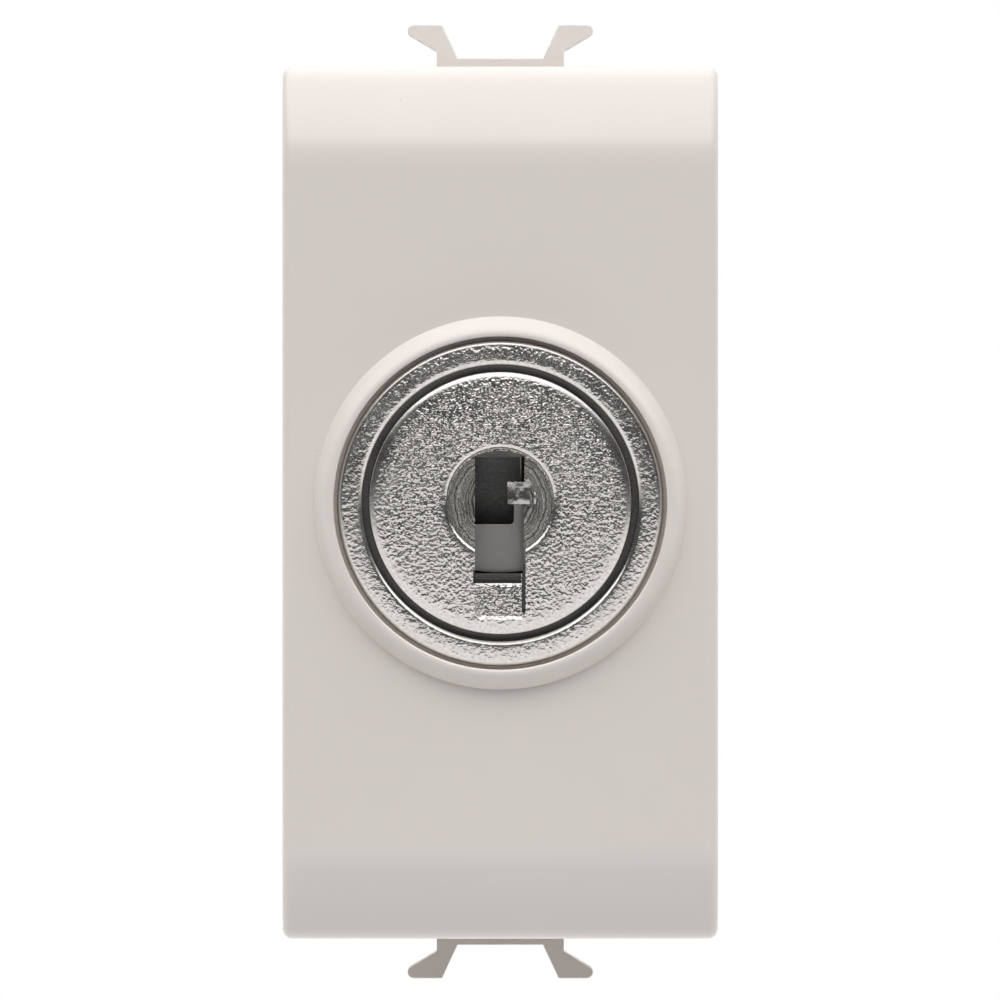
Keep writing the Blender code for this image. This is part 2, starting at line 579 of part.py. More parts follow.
def rear_housing(material):
    """Rear box: ledge and posts for the contact carrier, a partition, tongues, wire and screw openings."""
    upper = [
        (HOUSING_FRONT, HOUSING_HALF_HEIGHT),
        (HOUSING_BACK - HOUSING_CHAMFER, HOUSING_HALF_HEIGHT),
        (HOUSING_BACK, HOUSING_HALF_HEIGHT - HOUSING_CHAMFER),
    ]
    section = upper + [(y, -z) for y, z in reversed(upper)]
    housing = prism("rear_housing", section, -HOUSING_HALF_WIDTH, HOUSING_HALF_WIDTH, "X")
    soften(housing, HOUSING_EDGE_RADIUS)
    room_x = (-ROOM_HALF_WIDTH, ROOM_HALF_WIDTH)
    room_z = (-ROOM_HALF_HEIGHT, ROOM_HALF_HEIGHT)
    ledge = CARRIER_BACK + SEAM
    rear_x = (-REAR_ROOM_HALF_WIDTH, REAR_ROOM_HALF_WIDTH)
    rear_z = (-REAR_ROOM_HALF_HEIGHT, REAR_ROOM_HALF_HEIGHT)
    front_room = box("front_room", room_x, (HOUSING_FRONT - PAST, ledge), room_z)
    rear_room = box("rear_room", rear_x, (ledge - PAST, HOUSING_INSIDE_BACK), rear_z)
    cut(housing, front_room, rear_room)
    wall = (-PARTITION_WALL / 2, PARTITION_WALL / 2)
    wall_z = (rear_z[0] - OVERLAP, rear_z[1] + OVERLAP)
    join(housing, box("wall", wall, (TERMINAL_SEAT_FRONT, HOUSING_INSIDE_BACK + OVERLAP), wall_z))
    for side in (-1, 1):
        join(housing, carrier_post(side, ledge + SEAM), detent_ledge(side))
        for level in (-1, 1):
            join(housing, tongue(side, level), tongue_hook("hook", 0.0, 0.0, side, level))
            cut(housing, side_panel(side, level), screw_opening(side, level), *wire_holes(side, level))
    return dress(housing, material)


def side_panel(side, level):
    """Shallow panel in the upper or lower half of a side."""
    x = sorted((side * (HOUSING_HALF_WIDTH - SIDE_PANEL_DEPTH), side * (HOUSING_HALF_WIDTH + PAST)))
    y = (HOUSING_FRONT + SIDE_PANEL_MARGIN, HOUSING_BACK - HOUSING_CHAMFER - SIDE_PANEL_MARGIN)
    z = sorted((level * SIDE_PANEL_MARGIN / 2, level * (HOUSING_HALF_HEIGHT - SIDE_PANEL_MARGIN)))
    return box("side_panel", x, y, z)


def carrier_post(side, front):
    """Post on the housing's rear wall, with the blind hole that a carrier screw goes into."""
    bore = CARRIER_SCREW_RADIUS + THREAD_FIT
    floor = front + CARRIER_SCREW_LENGTH
    back = HOUSING_INSIDE_BACK + OVERLAP
    profile = [
        (0.0, floor),
        (bore, floor),
        (bore, front),
        (bore + POST_WALL, front),
        (bore + POST_WALL, back),
        (0.0, back),
    ]
    return turned("post", profile, SMALL_ROUND, (side * CARRIER_SCREW_X, 0.0))


def detent_ledge(side):
    """Small shelf on a side wall that carries one end of the detent spring."""
    top = DETENT_TOP - DETENT_THICKNESS - SEAM
    x = sorted((side * (ROOM_HALF_WIDTH - DETENT_LEDGE_WIDTH), side * (ROOM_HALF_WIDTH + OVERLAP)))
    y = (DETENT_MIDDLE - DETENT_WIDTH / 2, DETENT_MIDDLE + DETENT_WIDTH / 2)
    return box("detent_ledge", x, y, (top - DETENT_LEDGE_HEIGHT, top))


def tongue(side, level):
    """Springy tongue that reaches from the housing's front edge into the frame's sleeve."""
    outer = ROOM_HALF_WIDTH - SLIDE_FIT
    inner = outer - TONGUE_WALL
    root = ROOM_HALF_WIDTH + OVERLAP
    section = [
        (inner, EAR_FRONT - SNAP_WIDTH),
        (outer, EAR_FRONT - SNAP_WIDTH),
        (outer, HOUSING_FRONT + SEAM),
        (root, HOUSING_FRONT + SEAM),
        (root, HOUSING_FRONT + TONGUE_WALL),
        (inner, HOUSING_FRONT + TONGUE_WALL),
    ]
    half = SNAP_LENGTH / 2 + OVERLAP
    outline = [(side * x, y) for x, y in section]
    return prism("tongue", outline, level * SNAP_Z - half, level * SNAP_Z + half, "Z")


def screw_opening(side, level):
    """Opening in the rear wall for a screwdriver."""
    radius = TERMINAL_SCREW_HEAD_RADIUS + SCREW_OPENING_GAP
    y = (HOUSING_INSIDE_BACK - PAST, HOUSING_BACK + PAST)
    return rod("screw_opening", radius, y, SMALL_ROUND, (side * TERMINAL_X, level * TERMINAL_Z))


def wire_holes(side, level):
    """Two wire entries beside a terminal's screw, through the top or bottom wall."""
    low = level * (REAR_ROOM_HALF_HEIGHT - PAST)
    high = level * (HOUSING_HALF_HEIGHT + PAST)
    holes = []
    for offset in (-WIRE_HOLE_OFFSET, WIRE_HOLE_OFFSET):
        middle = (side * TERMINAL_X + offset, WIRE_Y)
        outline = arc(middle, WIRE_HOLE_RADIUS, 0.0, math.tau, SMALL_ROUND)[:-1]
        holes.append(prism("wire_hole", outline, low, high, "Z"))
    return holes


def lock_body(material):
    """Die-cast barrel: flange ring in front, stepped bore, and grooves that the wafers lock into."""
    bevel = RING_BEVEL
    profile = [
        (HEAD_BORE_RADIUS, LOCK_FACE + bevel),
        (HEAD_BORE_RADIUS + bevel, LOCK_FACE),
        (RING_RADIUS - bevel, LOCK_FACE),
        (RING_RADIUS, LOCK_FACE + bevel),
        (RING_RADIUS, RING_BACK),
        (BARREL_RADIUS, RING_BACK),
        (BARREL_RADIUS, BARREL_BACK),
        (BORE_RADIUS, BARREL_BACK),
        (BORE_RADIUS, HEAD_BACK + SEAM),
        (HEAD_BORE_RADIUS, HEAD_BACK + SEAM),
    ]
    barrel = turned("lock_body", profile, LARGE_ROUND)
    join(barrel, lug("lug", 0.0, COVER_INSIDE))
    half = WAFER_WIDTH / 2 + SLIDE_FIT
    start = math.sqrt(BORE_RADIUS**2 - half**2) - OVERLAP
    groove_y = (FIRST_WAFER - WAFER_PITCH / 2 + 2 * SEAM, LAST_WAFER + WAFER_PITCH / 2)
    reach = (start, LOCKING_GROOVE_REACH)
    at_rest = box("groove", (-half, half), groove_y, reach)
    turned_over = box("groove", reach, groove_y, (-half, half))
    cut(barrel, at_rest, turned_over)
    return dress(barrel, material)


def lock_nut(material):
    """Ring nut behind the cover's front wall, with spanner slots in its rear face."""
    bore = BARREL_RADIUS + THREAD_FIT
    back = NUT_FRONT + NUT_THICKNESS
    profile = [(bore, NUT_FRONT), (NUT_RADIUS, NUT_FRONT), (NUT_RADIUS, back), (bore, back)]
    nut = turned("lock_nut", profile, LARGE_ROUND)
    slots = []
    for index in range(NUT_SLOTS):
        slot = box(
            "spanner_slot",
            (-NUT_SLOT_WIDTH / 2, NUT_SLOT_WIDTH / 2),
            (back - NUT_SLOT_DEPTH, back + PAST),
            (bore - OVERLAP, NUT_RADIUS + PAST),
        )
        slot.rotation_euler.y = math.tau * (index + 0.5) / NUT_SLOTS
        slots.append(slot)
    cut(nut, *slots)
    return dress(nut, material)


def lock_rotor(material, axis):
    """Rotor: head with the key opening, body with wafer slots, neck, shoulder and square tail."""
    profile = [
        (0.0, LOCK_FACE),
        (HEAD_RADIUS - HEAD_BEVEL, LOCK_FACE),
        (HEAD_RADIUS, LOCK_FACE + HEAD_BEVEL),
        (HEAD_RADIUS, HEAD_BACK),
        (ROTOR_RADIUS, HEAD_BACK),
        (ROTOR_RADIUS, ROTOR_BACK),
        (NECK_RADIUS, ROTOR_BACK),
        (NECK_RADIUS, NECK_BACK),
        (SHOULDER_RADIUS, NECK_BACK),
        (SHOULDER_RADIUS, SHOULDER_BACK),
        (0.0, SHOULDER_BACK),
    ]
    rotor = turned("lock_rotor", profile, LARGE_ROUND)
    half = TAIL_WIDTH / 2
    tail = box("tail", (-half, half), (SHOULDER_BACK - OVERLAP, TAIL_BACK), (-half, half))
    join(rotor, tail)
    cut(rotor, keyhole(), keyway(), ramp(), *[slot for k in range(WAFER_COUNT) for slot in wafer_slots(k)])
    join(rotor, ward())
    cut(rotor, rod("tapped_hole", CAM_SCREW_RADIUS + THREAD_FIT, (NECK_BACK, TAIL_BACK + PAST)))
    return dress(rotor, material, axis)


def keyhole():
    """Round recess around the key opening, with a chamfered edge."""
    profile = [
        (0.0, LOCK_FACE - PAST),
        (KEYHOLE_RADIUS + KEYHOLE_CHAMFER, LOCK_FACE - PAST),
        (KEYHOLE_RADIUS + KEYHOLE_CHAMFER, LOCK_FACE),
        (KEYHOLE_RADIUS, LOCK_FACE + KEYHOLE_CHAMFER),
        (KEYHOLE_RADIUS, LOCK_FACE + KEYHOLE_DEPTH),
        (0.0, LOCK_FACE + KEYHOLE_DEPTH),
    ]
    return turned("keyhole", profile, LARGE_ROUND)


def keyway():
    half = KEYWAY_WIDTH / 2
    return box("keyway", (-half, half), (LOCK_FACE - PAST, KEYWAY_END), (-KEYWAY_FLOOR, KEYWAY_TOP))


def ramp():
    """Sloping lead-in below the keyway."""
    half = KEYWAY_WIDTH / 2
    slope = (RAMP_FOOT - KEYWAY_FLOOR) / RAMP_DEPTH
    outline = [
        (LOCK_FACE - PAST, -KEYWAY_FLOOR + OVERLAP),
        (LOCK_FACE - PAST, -RAMP_FOOT - slope * PAST),
        (LOCK_FACE + RAMP_DEPTH, -KEYWAY_FLOOR),
        (LOCK_FACE + RAMP_DEPTH, -KEYWAY_FLOOR + OVERLAP),
    ]
    return prism("ramp", outline, -half, half, "X")


def ward():
    """Block on the keyway's right side, just inside the opening."""
    right = KEYWAY_WIDTH / 2
    x = (right - WARD_REACH, right + OVERLAP)
    front = LOCK_FACE + KEYHOLE_DEPTH - SEAM
    return box("ward", x, (front, front + WARD_LENGTH), (WARD_LOW, WARD_HIGH))


def wafer_place(index):
    return FIRST_WAFER + index * WAFER_PITCH


def wafer_slots(index):
    """Room in the rotor for one wafer, its ear and its spring."""
    middle = wafer_place(index)
    half_y = WAFER_THICKNESS / 2 + SLIDE_FIT
    half_x = WAFER_WIDTH / 2 + SLIDE_FIT
    y = (middle - half_y, middle + half_y)
    plate = box("wafer_slot", (-half_x, half_x), y, (-WAFER_FOOT - SLIDE_FIT, ROTOR_RADIUS + PAST))
    pocket_x = (-half_x - WAFER_EAR_REACH, -half_x + OVERLAP)
    floor = WAFER_EAR_LOW - SEAM - WAFER_SPRING_LENGTH - SEAM
    pocket = box("spring_pocket", pocket_x, y, (floor, WAFER_EAR_HIGH + WAFER_LIFT + SLIDE_FIT))
    return [plate, pocket]


def wafer_mesh(material):
    """Wafer about its own middle: round top, slightly round foot, a window for the key and a spring ear."""
    half = WAFER_WIDTH / 2
    top = math.acos(half / WAFER_TOP_RADIUS)
    foot = math.asin(half / WAFER_FOOT_RADIUS)
    foot_centre = (0.0, WAFER_FOOT_RADIUS - WAFER_FOOT)
    outline = [
        *arc((0.0, 0.0), WAFER_TOP_RADIUS, top, math.pi - top, CORNER_STEPS),
        (-half, WAFER_EAR_HIGH),
        (-half - WAFER_EAR_REACH, WAFER_EAR_HIGH),
        (-half - WAFER_EAR_REACH, WAFER_EAR_LOW),
        (-half, WAFER_EAR_LOW),
        *arc(foot_centre, WAFER_FOOT_RADIUS, -math.pi / 2 - foot, -math.pi / 2 + foot, CORNER_STEPS),
    ]
    thick = WAFER_THICKNESS / 2
    wafer = prism("wafer", outline, -thick, thick)
    window_x = (-WAFER_WINDOW_LEFT, WAFER_WINDOW_RIGHT)
    window_z = (-WAFER_WINDOW_FLOOR, WAFER_WINDOW_TOP)
    cut(wafer, box("window", window_x, (-thick - PAST, thick + PAST), window_z))
    mesh = dress(wafer, material).data
    bpy.data.objects.remove(wafer)
    return mesh


def wafers(material, spring_material, axis):
    """The row of wafers, all of one shape, and the spring under each one's ear."""
    mesh = wafer_mesh(material)
    for index in range(WAFER_COUNT):
        wafer = bpy.data.objects.new(f"wafer_{index + 1}", mesh)
        wafer.location.y = wafer_place(index)
        wafer.parent = axis
        bpy.context.scene.collection.objects.link(wafer)
        coil = spring(
            f"wafer_spring_{index + 1}",
            (WAFER_SPRING_X, wafer_place(index)),
            WAFER_EAR_LOW - SEAM - WAFER_SPRING_LENGTH,
            WAFER_EAR_LOW - SEAM,
            (WAFER_THICKNESS - WAFER_SPRING_WIRE) / 2,
            WAFER_SPRING_WIRE,
            WAFER_SPRING_CURLS,
        )
        dress(coil, spring_material, axis)


def rotor_clip(material, axis):
    """Open ring in the rotor's neck, which rests on the barrel's rear end."""
    inner = NECK_RADIUS + THREAD_FIT
    outer = inner + CLIP_WIDTH
    start = -math.pi / 2 + CLIP_OPENING / 2
    end = math.tau + start - CLIP_OPENING
    outline = arc((0.0, 0.0), outer, start, end, LARGE_ROUND // 2)
    outline += arc((0.0, 0.0), inner, end, start, LARGE_ROUND // 2)
    front = ROTOR_BACK + (NECK_LENGTH - CLIP_THICKNESS) / 2
    return dress(prism("rotor_clip", outline, front, front + CLIP_THICKNESS), material, axis)


def groove_outline():
    """The spiral groove seen along Y: the pin's path across the cam in a quarter turn, with round ends."""
    steps = 2 * CORNER_STEPS
    fall = -SLIDER_TRAVEL / KEY_TURN
    inner, outer, headings = [], [], []
    for step in range(steps + 1):
        turn = KEY_TURN * step / steps
        radius = GROOVE_START + fall * turn
        point = Vector((-radius * math.sin(turn), radius * math.cos(turn)))
        ahead_x = -fall * math.sin(turn) - radius * math.cos(turn)
        ahead_z = fall * math.cos(turn) - radius * math.sin(turn)
        heading = math.atan2(ahead_z, ahead_x)
        across = GROOVE_HALF_WIDTH * Vector((-math.sin(heading), math.cos(heading)))
        inner.append(point + across)
        outer.append(point - across)
        headings.append((point, heading))
    last, first = headings[-1], headings[0]
    quarter = math.pi / 2
    far_end = arc(last[0], GROOVE_HALF_WIDTH, last[1] - quarter, last[1] + quarter, CORNER_STEPS)
    near_end = arc(first[0], GROOVE_HALF_WIDTH, first[1] + quarter, first[1] + 3 * quarter, CORNER_STEPS)
    sides = [tuple(p) for p in outer[1:-1]], [tuple(p) for p in reversed(inner[1:-1])]
    return [*sides[0], *far_end, *sides[1], *near_end]


def drive_cam(material, axis):
    """Disc on the rotor's tail: two detent notches in its rim, screw recess and spiral groove behind."""
    cam = prism("drive_cam", cam_outline(), CAM_FRONT, CAM_BACK)
    recess = rod("recess", CAM_RECESS_RADIUS, (CAM_RECESS_FLOOR, CAM_BACK + PAST), LARGE_ROUND)
    half = TAIL_WIDTH / 2 + SLIDE_FIT
    square = box("square", (-half, half), (CAM_FRONT - PAST, CAM_BACK), (-half, half))
    groove = prism("groove", groove_outline(), CAM_BACK - GROOVE_DEPTH, CAM_BACK + PAST)
    cut(cam, recess, square, groove)
    return dress(cam, material, axis)


def cam_outline():
    """Round rim with a notch for the detent spring at each end of the key's turn."""
    first = -math.pi / 2
    second = first + KEY_TURN
    spread = NOTCH_HALF_WIDTH / CAM_RADIUS
    floor = CAM_RADIUS - NOTCH_DEPTH
    outline = []
    for notch, following in ((first, second), (second, first + math.tau)):
        outline.append((floor * math.cos(notch), floor * math.sin(notch)))
        outline += arc((0.0, 0.0), CAM_RADIUS, notch + spread, following - spread, LARGE_ROUND // 2)
    return outline


def detent_spring(material):
    """Leaf spring below the cam, bent up in the middle into the notch."""
    end = ROOM_HALF_WIDTH - SLIDE_FIT
    peak = -(CAM_RADIUS - NOTCH_DEPTH) - 2 * SEAM
    upper = [(-end, DETENT_TOP), (-DETENT_BUMP_HALF_WIDTH, DETENT_TOP), (0.0, peak)]
    upper += [(-x, z) for x, z in reversed(upper[:-1])]
    outline = upper + [(x, z - DETENT_THICKNESS) for x, z in reversed(upper)]
    low = DETENT_MIDDLE - DETENT_WIDTH / 2
    return dress(prism("detent_spring", outline, low, low + DETENT_WIDTH), material)


def screw(name, head_radius, head, shank_radius, shank, centre, slot_side):
    """Slotted cheese-head screw along Y. Head and shank are (y, y) pairs, and slot_side is -1 or 1."""
    ends = sorted(head) if slot_side < 0 else sorted(head, reverse=True)
    tip = max(shank) if slot_side < 0 else min(shank)
    profile = [
        (0.0, ends[0]),
        (head_radius, ends[0]),
        (head_radius, ends[1]),
        (shank_radius, ends[1]),
        (shank_radius, tip),
        (0.0, tip),
    ]
    piece = turned(name, profile, SMALL_ROUND, centre)
    depth = SCREW_SLOT_SHARE * abs(head[1] - head[0])
    slot_y = sorted((ends[0] + slot_side * PAST, ends[0] - slot_side * depth))
    wide = (centre[0] - head_radius - PAST, centre[0] + head_radius + PAST)
    narrow = (centre[1] - SCREW_SLOT_WIDTH / 2, centre[1] + SCREW_SLOT_WIDTH / 2)
    return cut(piece, box("slot", wide, slot_y, narrow))


def cam_screw(material, axis):
    """Screw in the cam's recess that holds it on the rotor's tail."""
    head = (CAM_RECESS_FLOOR + SEAM, CAM_RECESS_FLOOR + SEAM + CAM_SCREW_HEAD_HEIGHT)
    shank = (NECK_BACK + SEAM, head[0])
    piece = screw("cam_screw", CAM_SCREW_HEAD_RADIUS, head, CAM_SCREW_RADIUS, shank, (0.0, 0.0), 1)
    return dress(piece, material, axis)


def contact_slider(material, guide):
    """Slider with the cam pin in front and a window at each end for a contact bridge."""
    half = SLIDER_HALF_WIDTH
    low = SLIDER_MIDDLE - SLIDER_HALF_HEIGHT
    high = SLIDER_MIDDLE + SLIDER_HALF_HEIGHT
    slider = box("contact_slider", (-half, half), (SLIDER_FRONT, SLIDER_BACK), (low, high))
    pin_y = (CAM_BACK - GROOVE_DEPTH + SLIDE_FIT, SLIDER_FRONT + OVERLAP)
    join(slider, rod("pin", PIN_RADIUS, pin_y, centre=(0.0, GROOVE_START)))
    room = BRIDGE_WIDTH / 2 + SLIDE_FIT
    for level in (-1, 1):
        z = sorted(SLIDER_MIDDLE + level * reach for reach in (WINDOW_INNER, WINDOW_OUTER))
        window = box("window", (-half - PAST, half + PAST), (CONTACT_Y - room, CONTACT_Y + room), z)
        cut(slider, window)
    return dress(slider, material, guide)


def contact_bridge(name, level, material, guide):
    """Moving contact: a bar across the slider with a tip near each end."""
    half_y = BRIDGE_WIDTH / 2
    x = (-BRIDGE_HALF_LENGTH, BRIDGE_HALF_LENGTH)
    z = sorted(SLIDER_MIDDLE + level * reach for reach in (BRIDGE_INNER, BRIDGE_OUTER))
    bar = box(name, x, (CONTACT_Y - half_y, CONTACT_Y + half_y), z)
    tip_z = [SLIDER_MIDDLE + level * reach for reach in (BRIDGE_OUTER - OVERLAP, CONTACT_REACH)]
    for side in (-1, 1):
        join(bar, contact_tip(side, tip_z))
    return dress(bar, material, guide)


def contact_tip(side, z):
    """Round contact face along Z, between two heights."""
    outline = arc((side * TERMINAL_X, CONTACT_Y), TIP_RADIUS, 0.0, math.tau, SMALL_ROUND)[:-1]
    return prism("tip", outline, z[0], z[1], "Z")


def bridge_spring(name, level, material, guide):
    """Spring that presses a contact bridge outwards in its window."""
    outer = BRIDGE_INNER - SEAM / 2
    reach = sorted((level * (outer - BRIDGE_SPRING_LENGTH), level * outer))
    coil = spring(
        name,
        (0.0, CONTACT_Y),
        SLIDER_MIDDLE + reach[0],
        SLIDER_MIDDLE + reach[1],
        BRIDGE_SPRING_RADIUS,
        BRIDGE_SPRING_WIRE,
        BRIDGE_SPRING_CURLS,
    )
    return dress(coil, material, guide)


def contact_carrier(material):
    """Insulating plate between slider and terminals, with two guide ribs and slots for the strips."""
    half_x = ROOM_HALF_WIDTH - SLIDE_FIT
    half_z = ROOM_HALF_HEIGHT - SLIDE_FIT
    plate = box("contact_carrier", (-half_x, half_x), (CARRIER_FRONT, CARRIER_BACK), (-half_z, half_z))
    inner = SLIDER_HALF_WIDTH + SLIDE_FIT
    rib_y = (CARRIER_FRONT - GUIDE_HEIGHT, CARRIER_FRONT + OVERLAP)
    through = (CARRIER_FRONT - PAST, CARRIER_BACK + PAST)
    for side in (-1, 1):
        rib_x = sorted((side * inner, side * (inner + GUIDE_WALL)))
        join(plate, box("guide", rib_x, rib_y, (-GUIDE_LENGTH / 2, GUIDE_LENGTH / 2)))
        screw_place = (side * CARRIER_SCREW_X, 0.0)
        cut(plate, rod("screw_hole", CARRIER_SCREW_RADIUS + THREAD_FIT, through, centre=screw_place))
        for level in (-1, 1):
            centre = (side * TERMINAL_X, level * TERMINAL_Z)
            arm_x = CONTACT_ARM_WIDTH / 2 + SLIDE_FIT
            slot_x = (centre[0] - arm_x, centre[0] + arm_x)
            slot_z = sorted((level * (CONTACT_ARM_LOW - SLIDE_FIT), level * (CONTACT_ARM_HIGH + SLIDE_FIT)))
            slot = box("strip_slot", slot_x, through, slot_z)
            tip_room = TERMINAL_SCREW_RADIUS + SCREW_OPENING_GAP
            cut(plate, slot, rod("tip_hole", tip_room, through, centre=centre))
    return dress(plate, material)


def carrier_screw(name, side, material):
    """Screw that holds the carrier on one of the housing's posts."""
    head = (CARRIER_FRONT - SEAM - CARRIER_SCREW_HEAD_HEIGHT, CARRIER_FRONT - SEAM)
    shank = (head[1], CARRIER_BACK + CARRIER_SCREW_LENGTH)
    centre = (side * CARRIER_SCREW_X, 0.0)
    piece = screw(name, CARRIER_SCREW_HEAD_RADIUS, head, CARRIER_SCREW_RADIUS, shank, centre, -1)
    return dress(piece, material)


def terminal(name, side, level, material):
    """Bent strip: fixed contact in front of the carrier, screw seat behind it."""
    front = CONTACT_Y - TIP_RADIUS - TERMINAL_METAL
    section = [
        (front, CONTACT_ARM_LOW),
        (TERMINAL_SEAT_BACK, CONTACT_ARM_LOW),
        (TERMINAL_SEAT_BACK, TERMINAL_Z + TERMINAL_SEAT_TOP),
        (TERMINAL_SEAT_FRONT, TERMINAL_Z + TERMINAL_SEAT_TOP),
        (TERMINAL_SEAT_FRONT, CONTACT_ARM_HIGH),
        (front, CONTACT_ARM_HIGH),
    ]
    half = CONTACT_ARM_WIDTH / 2
    middle = side * TERMINAL_X
    strip = prism(name, [(y, level * z) for y, z in section], middle - half, middle + half, "X")
    join(strip, contact_tip(side, [level * FIXED_TIP_Z, level * (CONTACT_ARM_LOW + OVERLAP)]))
    y = (TERMINAL_SEAT_FRONT - PAST, TERMINAL_SEAT_BACK + PAST)
    radius = TERMINAL_SCREW_RADIUS + THREAD_FIT
    cut(strip, rod("thread", radius, y, centre=(middle, level * TERMINAL_Z)))
    return dress(strip, material)


def terminal_screw(name, material, axis):
    """Terminal screw about its own axis, backed out so that a wire goes in."""
    head = (SCREW_HEAD_FRONT, SCREW_HEAD_BACK)
    shank = (TERMINAL_SEAT_FRONT - SEAM, SCREW_HEAD_FRONT)
    centre = (0.0, 0.0)
    piece = screw(name, TERMINAL_SCREW_HEAD_RADIUS, head, TERMINAL_SCREW_RADIUS, shank, centre, 1)
    return dress(piece, material, axis)


def clamp_plate(name, material, axis):
    """Square plate under a terminal screw's head that presses on the wire."""
    half = CLAMP_WIDTH / 2
    plate = box(name, (-half, half), (CLAMP_FRONT, CLAMP_BACK), (-half, half))
    hole_y = (CLAMP_FRONT - PAST, CLAMP_BACK + PAST)
    cut(plate, rod("hole", TERMINAL_SCREW_RADIUS + THREAD_FIT, hole_y))
    return dress(plate, material, axis)


def terminals(brass, plated_steel):
    """The four terminals, each with its screw and clamp plate on an axis of their own."""
    for level, row in ((1, "upper"), (-1, "lower")):
        for side, column in ((-1, "left"), (1, "right")):
            place = f"{row}_{column}"
            terminal(f"terminal_{place}", side, level, brass)
            axis = empty(f"screw_axis_{place}", (side * TERMINAL_X, 0.0, level * TERMINAL_Z))
            terminal_screw(f"terminal_screw_{place}", plated_steel, axis)
            clamp_plate(f"clamp_plate_{place}", plated_steel, axis)


def main():
    for old in list(bpy.data.objects):
        bpy.data.objects.remove(old)
    white_plastic = finish("white_plastic", (0.78, 0.75, 0.72), 0.35)
    grey_plastic = finish("grey_plastic", (0.52, 0.52, 0.51), 0.5)
    dark_plastic = finish("dark_plastic", (0.06, 0.06, 0.065), 0.45)
    natural_plastic = finish("natural_plastic", (0.74, 0.72, 0.66), 0.4)
    cast_zinc = finish("cast_zinc", (0.56, 0.55, 0.53), 0.4, 1.0)
    wafer_metal = finish("wafer_metal", (0.5, 0.49, 0.47), 0.35, 1.0)
    plated_steel = finish("plated_steel", (0.62, 0.62, 0.61), 0.3, 1.0)
    spring_steel = finish("spring_steel", (0.48, 0.48, 0.49), 0.3, 1.0)
    brass = finish("brass", (0.72, 0.53, 0.24), 0.32, 1.0)
    lock_axis = empty("lock_axis")
    slider_guide = empty("slider_guide")
    front_cover(white_plastic)
    mounting_frame(white_plastic)
    rear_housing(grey_plastic)
    lock_body(cast_zinc)
    lock_nut(plated_steel)
    lock_rotor(cast_zinc, lock_axis)
    wafers(wafer_metal, spring_steel, lock_axis)
    rotor_clip(spring_steel, lock_axis)
    drive_cam(dark_plastic, lock_axis)
    cam_screw(plated_steel, lock_axis)
    detent_spring(spring_steel)
    contact_slider(natural_plastic, slider_guide)
    for level, row in ((1, "upper"), (-1, "lower")):
        contact_bridge(f"{row}_bridge", level, brass, slider_guide)
        bridge_spring(f"{row}_bridge_spring", level, spring_steel, slider_guide)
    contact_carrier(grey_plastic)
    carrier_screw("carrier_screw_left", -1, plated_steel)
    carrier_screw("carrier_screw_right", 1, plated_steel)
    terminals(brass, plated_steel)


main()
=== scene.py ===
import math

import bmesh
import bpy
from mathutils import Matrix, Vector


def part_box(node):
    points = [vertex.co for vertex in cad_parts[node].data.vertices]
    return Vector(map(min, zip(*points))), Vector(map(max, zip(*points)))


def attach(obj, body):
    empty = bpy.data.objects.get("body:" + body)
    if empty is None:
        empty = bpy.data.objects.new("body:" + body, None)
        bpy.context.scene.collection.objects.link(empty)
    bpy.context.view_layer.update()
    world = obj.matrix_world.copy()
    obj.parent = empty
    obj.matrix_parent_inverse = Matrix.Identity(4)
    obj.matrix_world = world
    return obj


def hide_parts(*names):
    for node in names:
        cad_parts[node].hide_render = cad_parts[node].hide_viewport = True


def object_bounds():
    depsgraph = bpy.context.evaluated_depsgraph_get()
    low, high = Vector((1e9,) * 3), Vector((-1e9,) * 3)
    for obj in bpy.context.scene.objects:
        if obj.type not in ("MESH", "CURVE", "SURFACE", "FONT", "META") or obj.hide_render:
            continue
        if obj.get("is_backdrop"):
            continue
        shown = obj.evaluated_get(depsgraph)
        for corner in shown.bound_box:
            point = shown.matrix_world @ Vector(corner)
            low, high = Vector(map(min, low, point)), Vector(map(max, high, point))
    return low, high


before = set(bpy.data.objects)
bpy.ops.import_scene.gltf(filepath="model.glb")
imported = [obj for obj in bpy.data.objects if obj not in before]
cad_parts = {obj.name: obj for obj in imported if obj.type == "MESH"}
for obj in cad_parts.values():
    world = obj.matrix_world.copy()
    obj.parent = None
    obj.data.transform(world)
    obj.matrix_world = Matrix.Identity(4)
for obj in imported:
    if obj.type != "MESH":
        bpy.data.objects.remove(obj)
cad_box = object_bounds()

# Looks of the selector key switch. Pieces are modelled in millimetres, in the part's own frame with
# the front towards -Y and the lock turning about Y, and are scaled to metres when they are finished.
MM = 0.001
WELD = 0.0005  # points this close are one point
CAD_WELD = 0.002  # the same, in the mesh of a CAD node
CAD_FLAT = 0.5  # degrees between triangles of a CAD node that are one flat face
SMOOTH_ANGLE = 32  # degrees, up to which faces are shaded as one
PAST = 1.0  # how far a cutter runs past the face it opens

# Front cover
COVER_HALF_WIDTH = 11.2
COVER_HALF_HEIGHT = 22.46
COVER_FRONT = -11.1
COVER_BACK = -2.1
COVER_WALL = 1.4
COVER_FRONT_WALL = 2.0
COVER_EDGE_ROUND = 0.5
END_LEAN = ((5.1, 0.0), (3.5, 18.0), (2.2, 23.0), (1.1, 31.0), (0.55, 40.0))  # mm from the end, degrees
END_STEPS = 8  # facets between two of those
COLLAR_INNER = 8.56
COLLAR_OUTER = 9.59
COLLAR_HEIGHT = 1.0
COLLAR_CREST_WIDTH = 0.15
COLLAR_EDGE_ROUND = 0.13
LEDGE_RADIUS = 8.38  # inside the collar, close around the lock
LEDGE_DEPTH = 0.85
RING_SEAT = -9.95

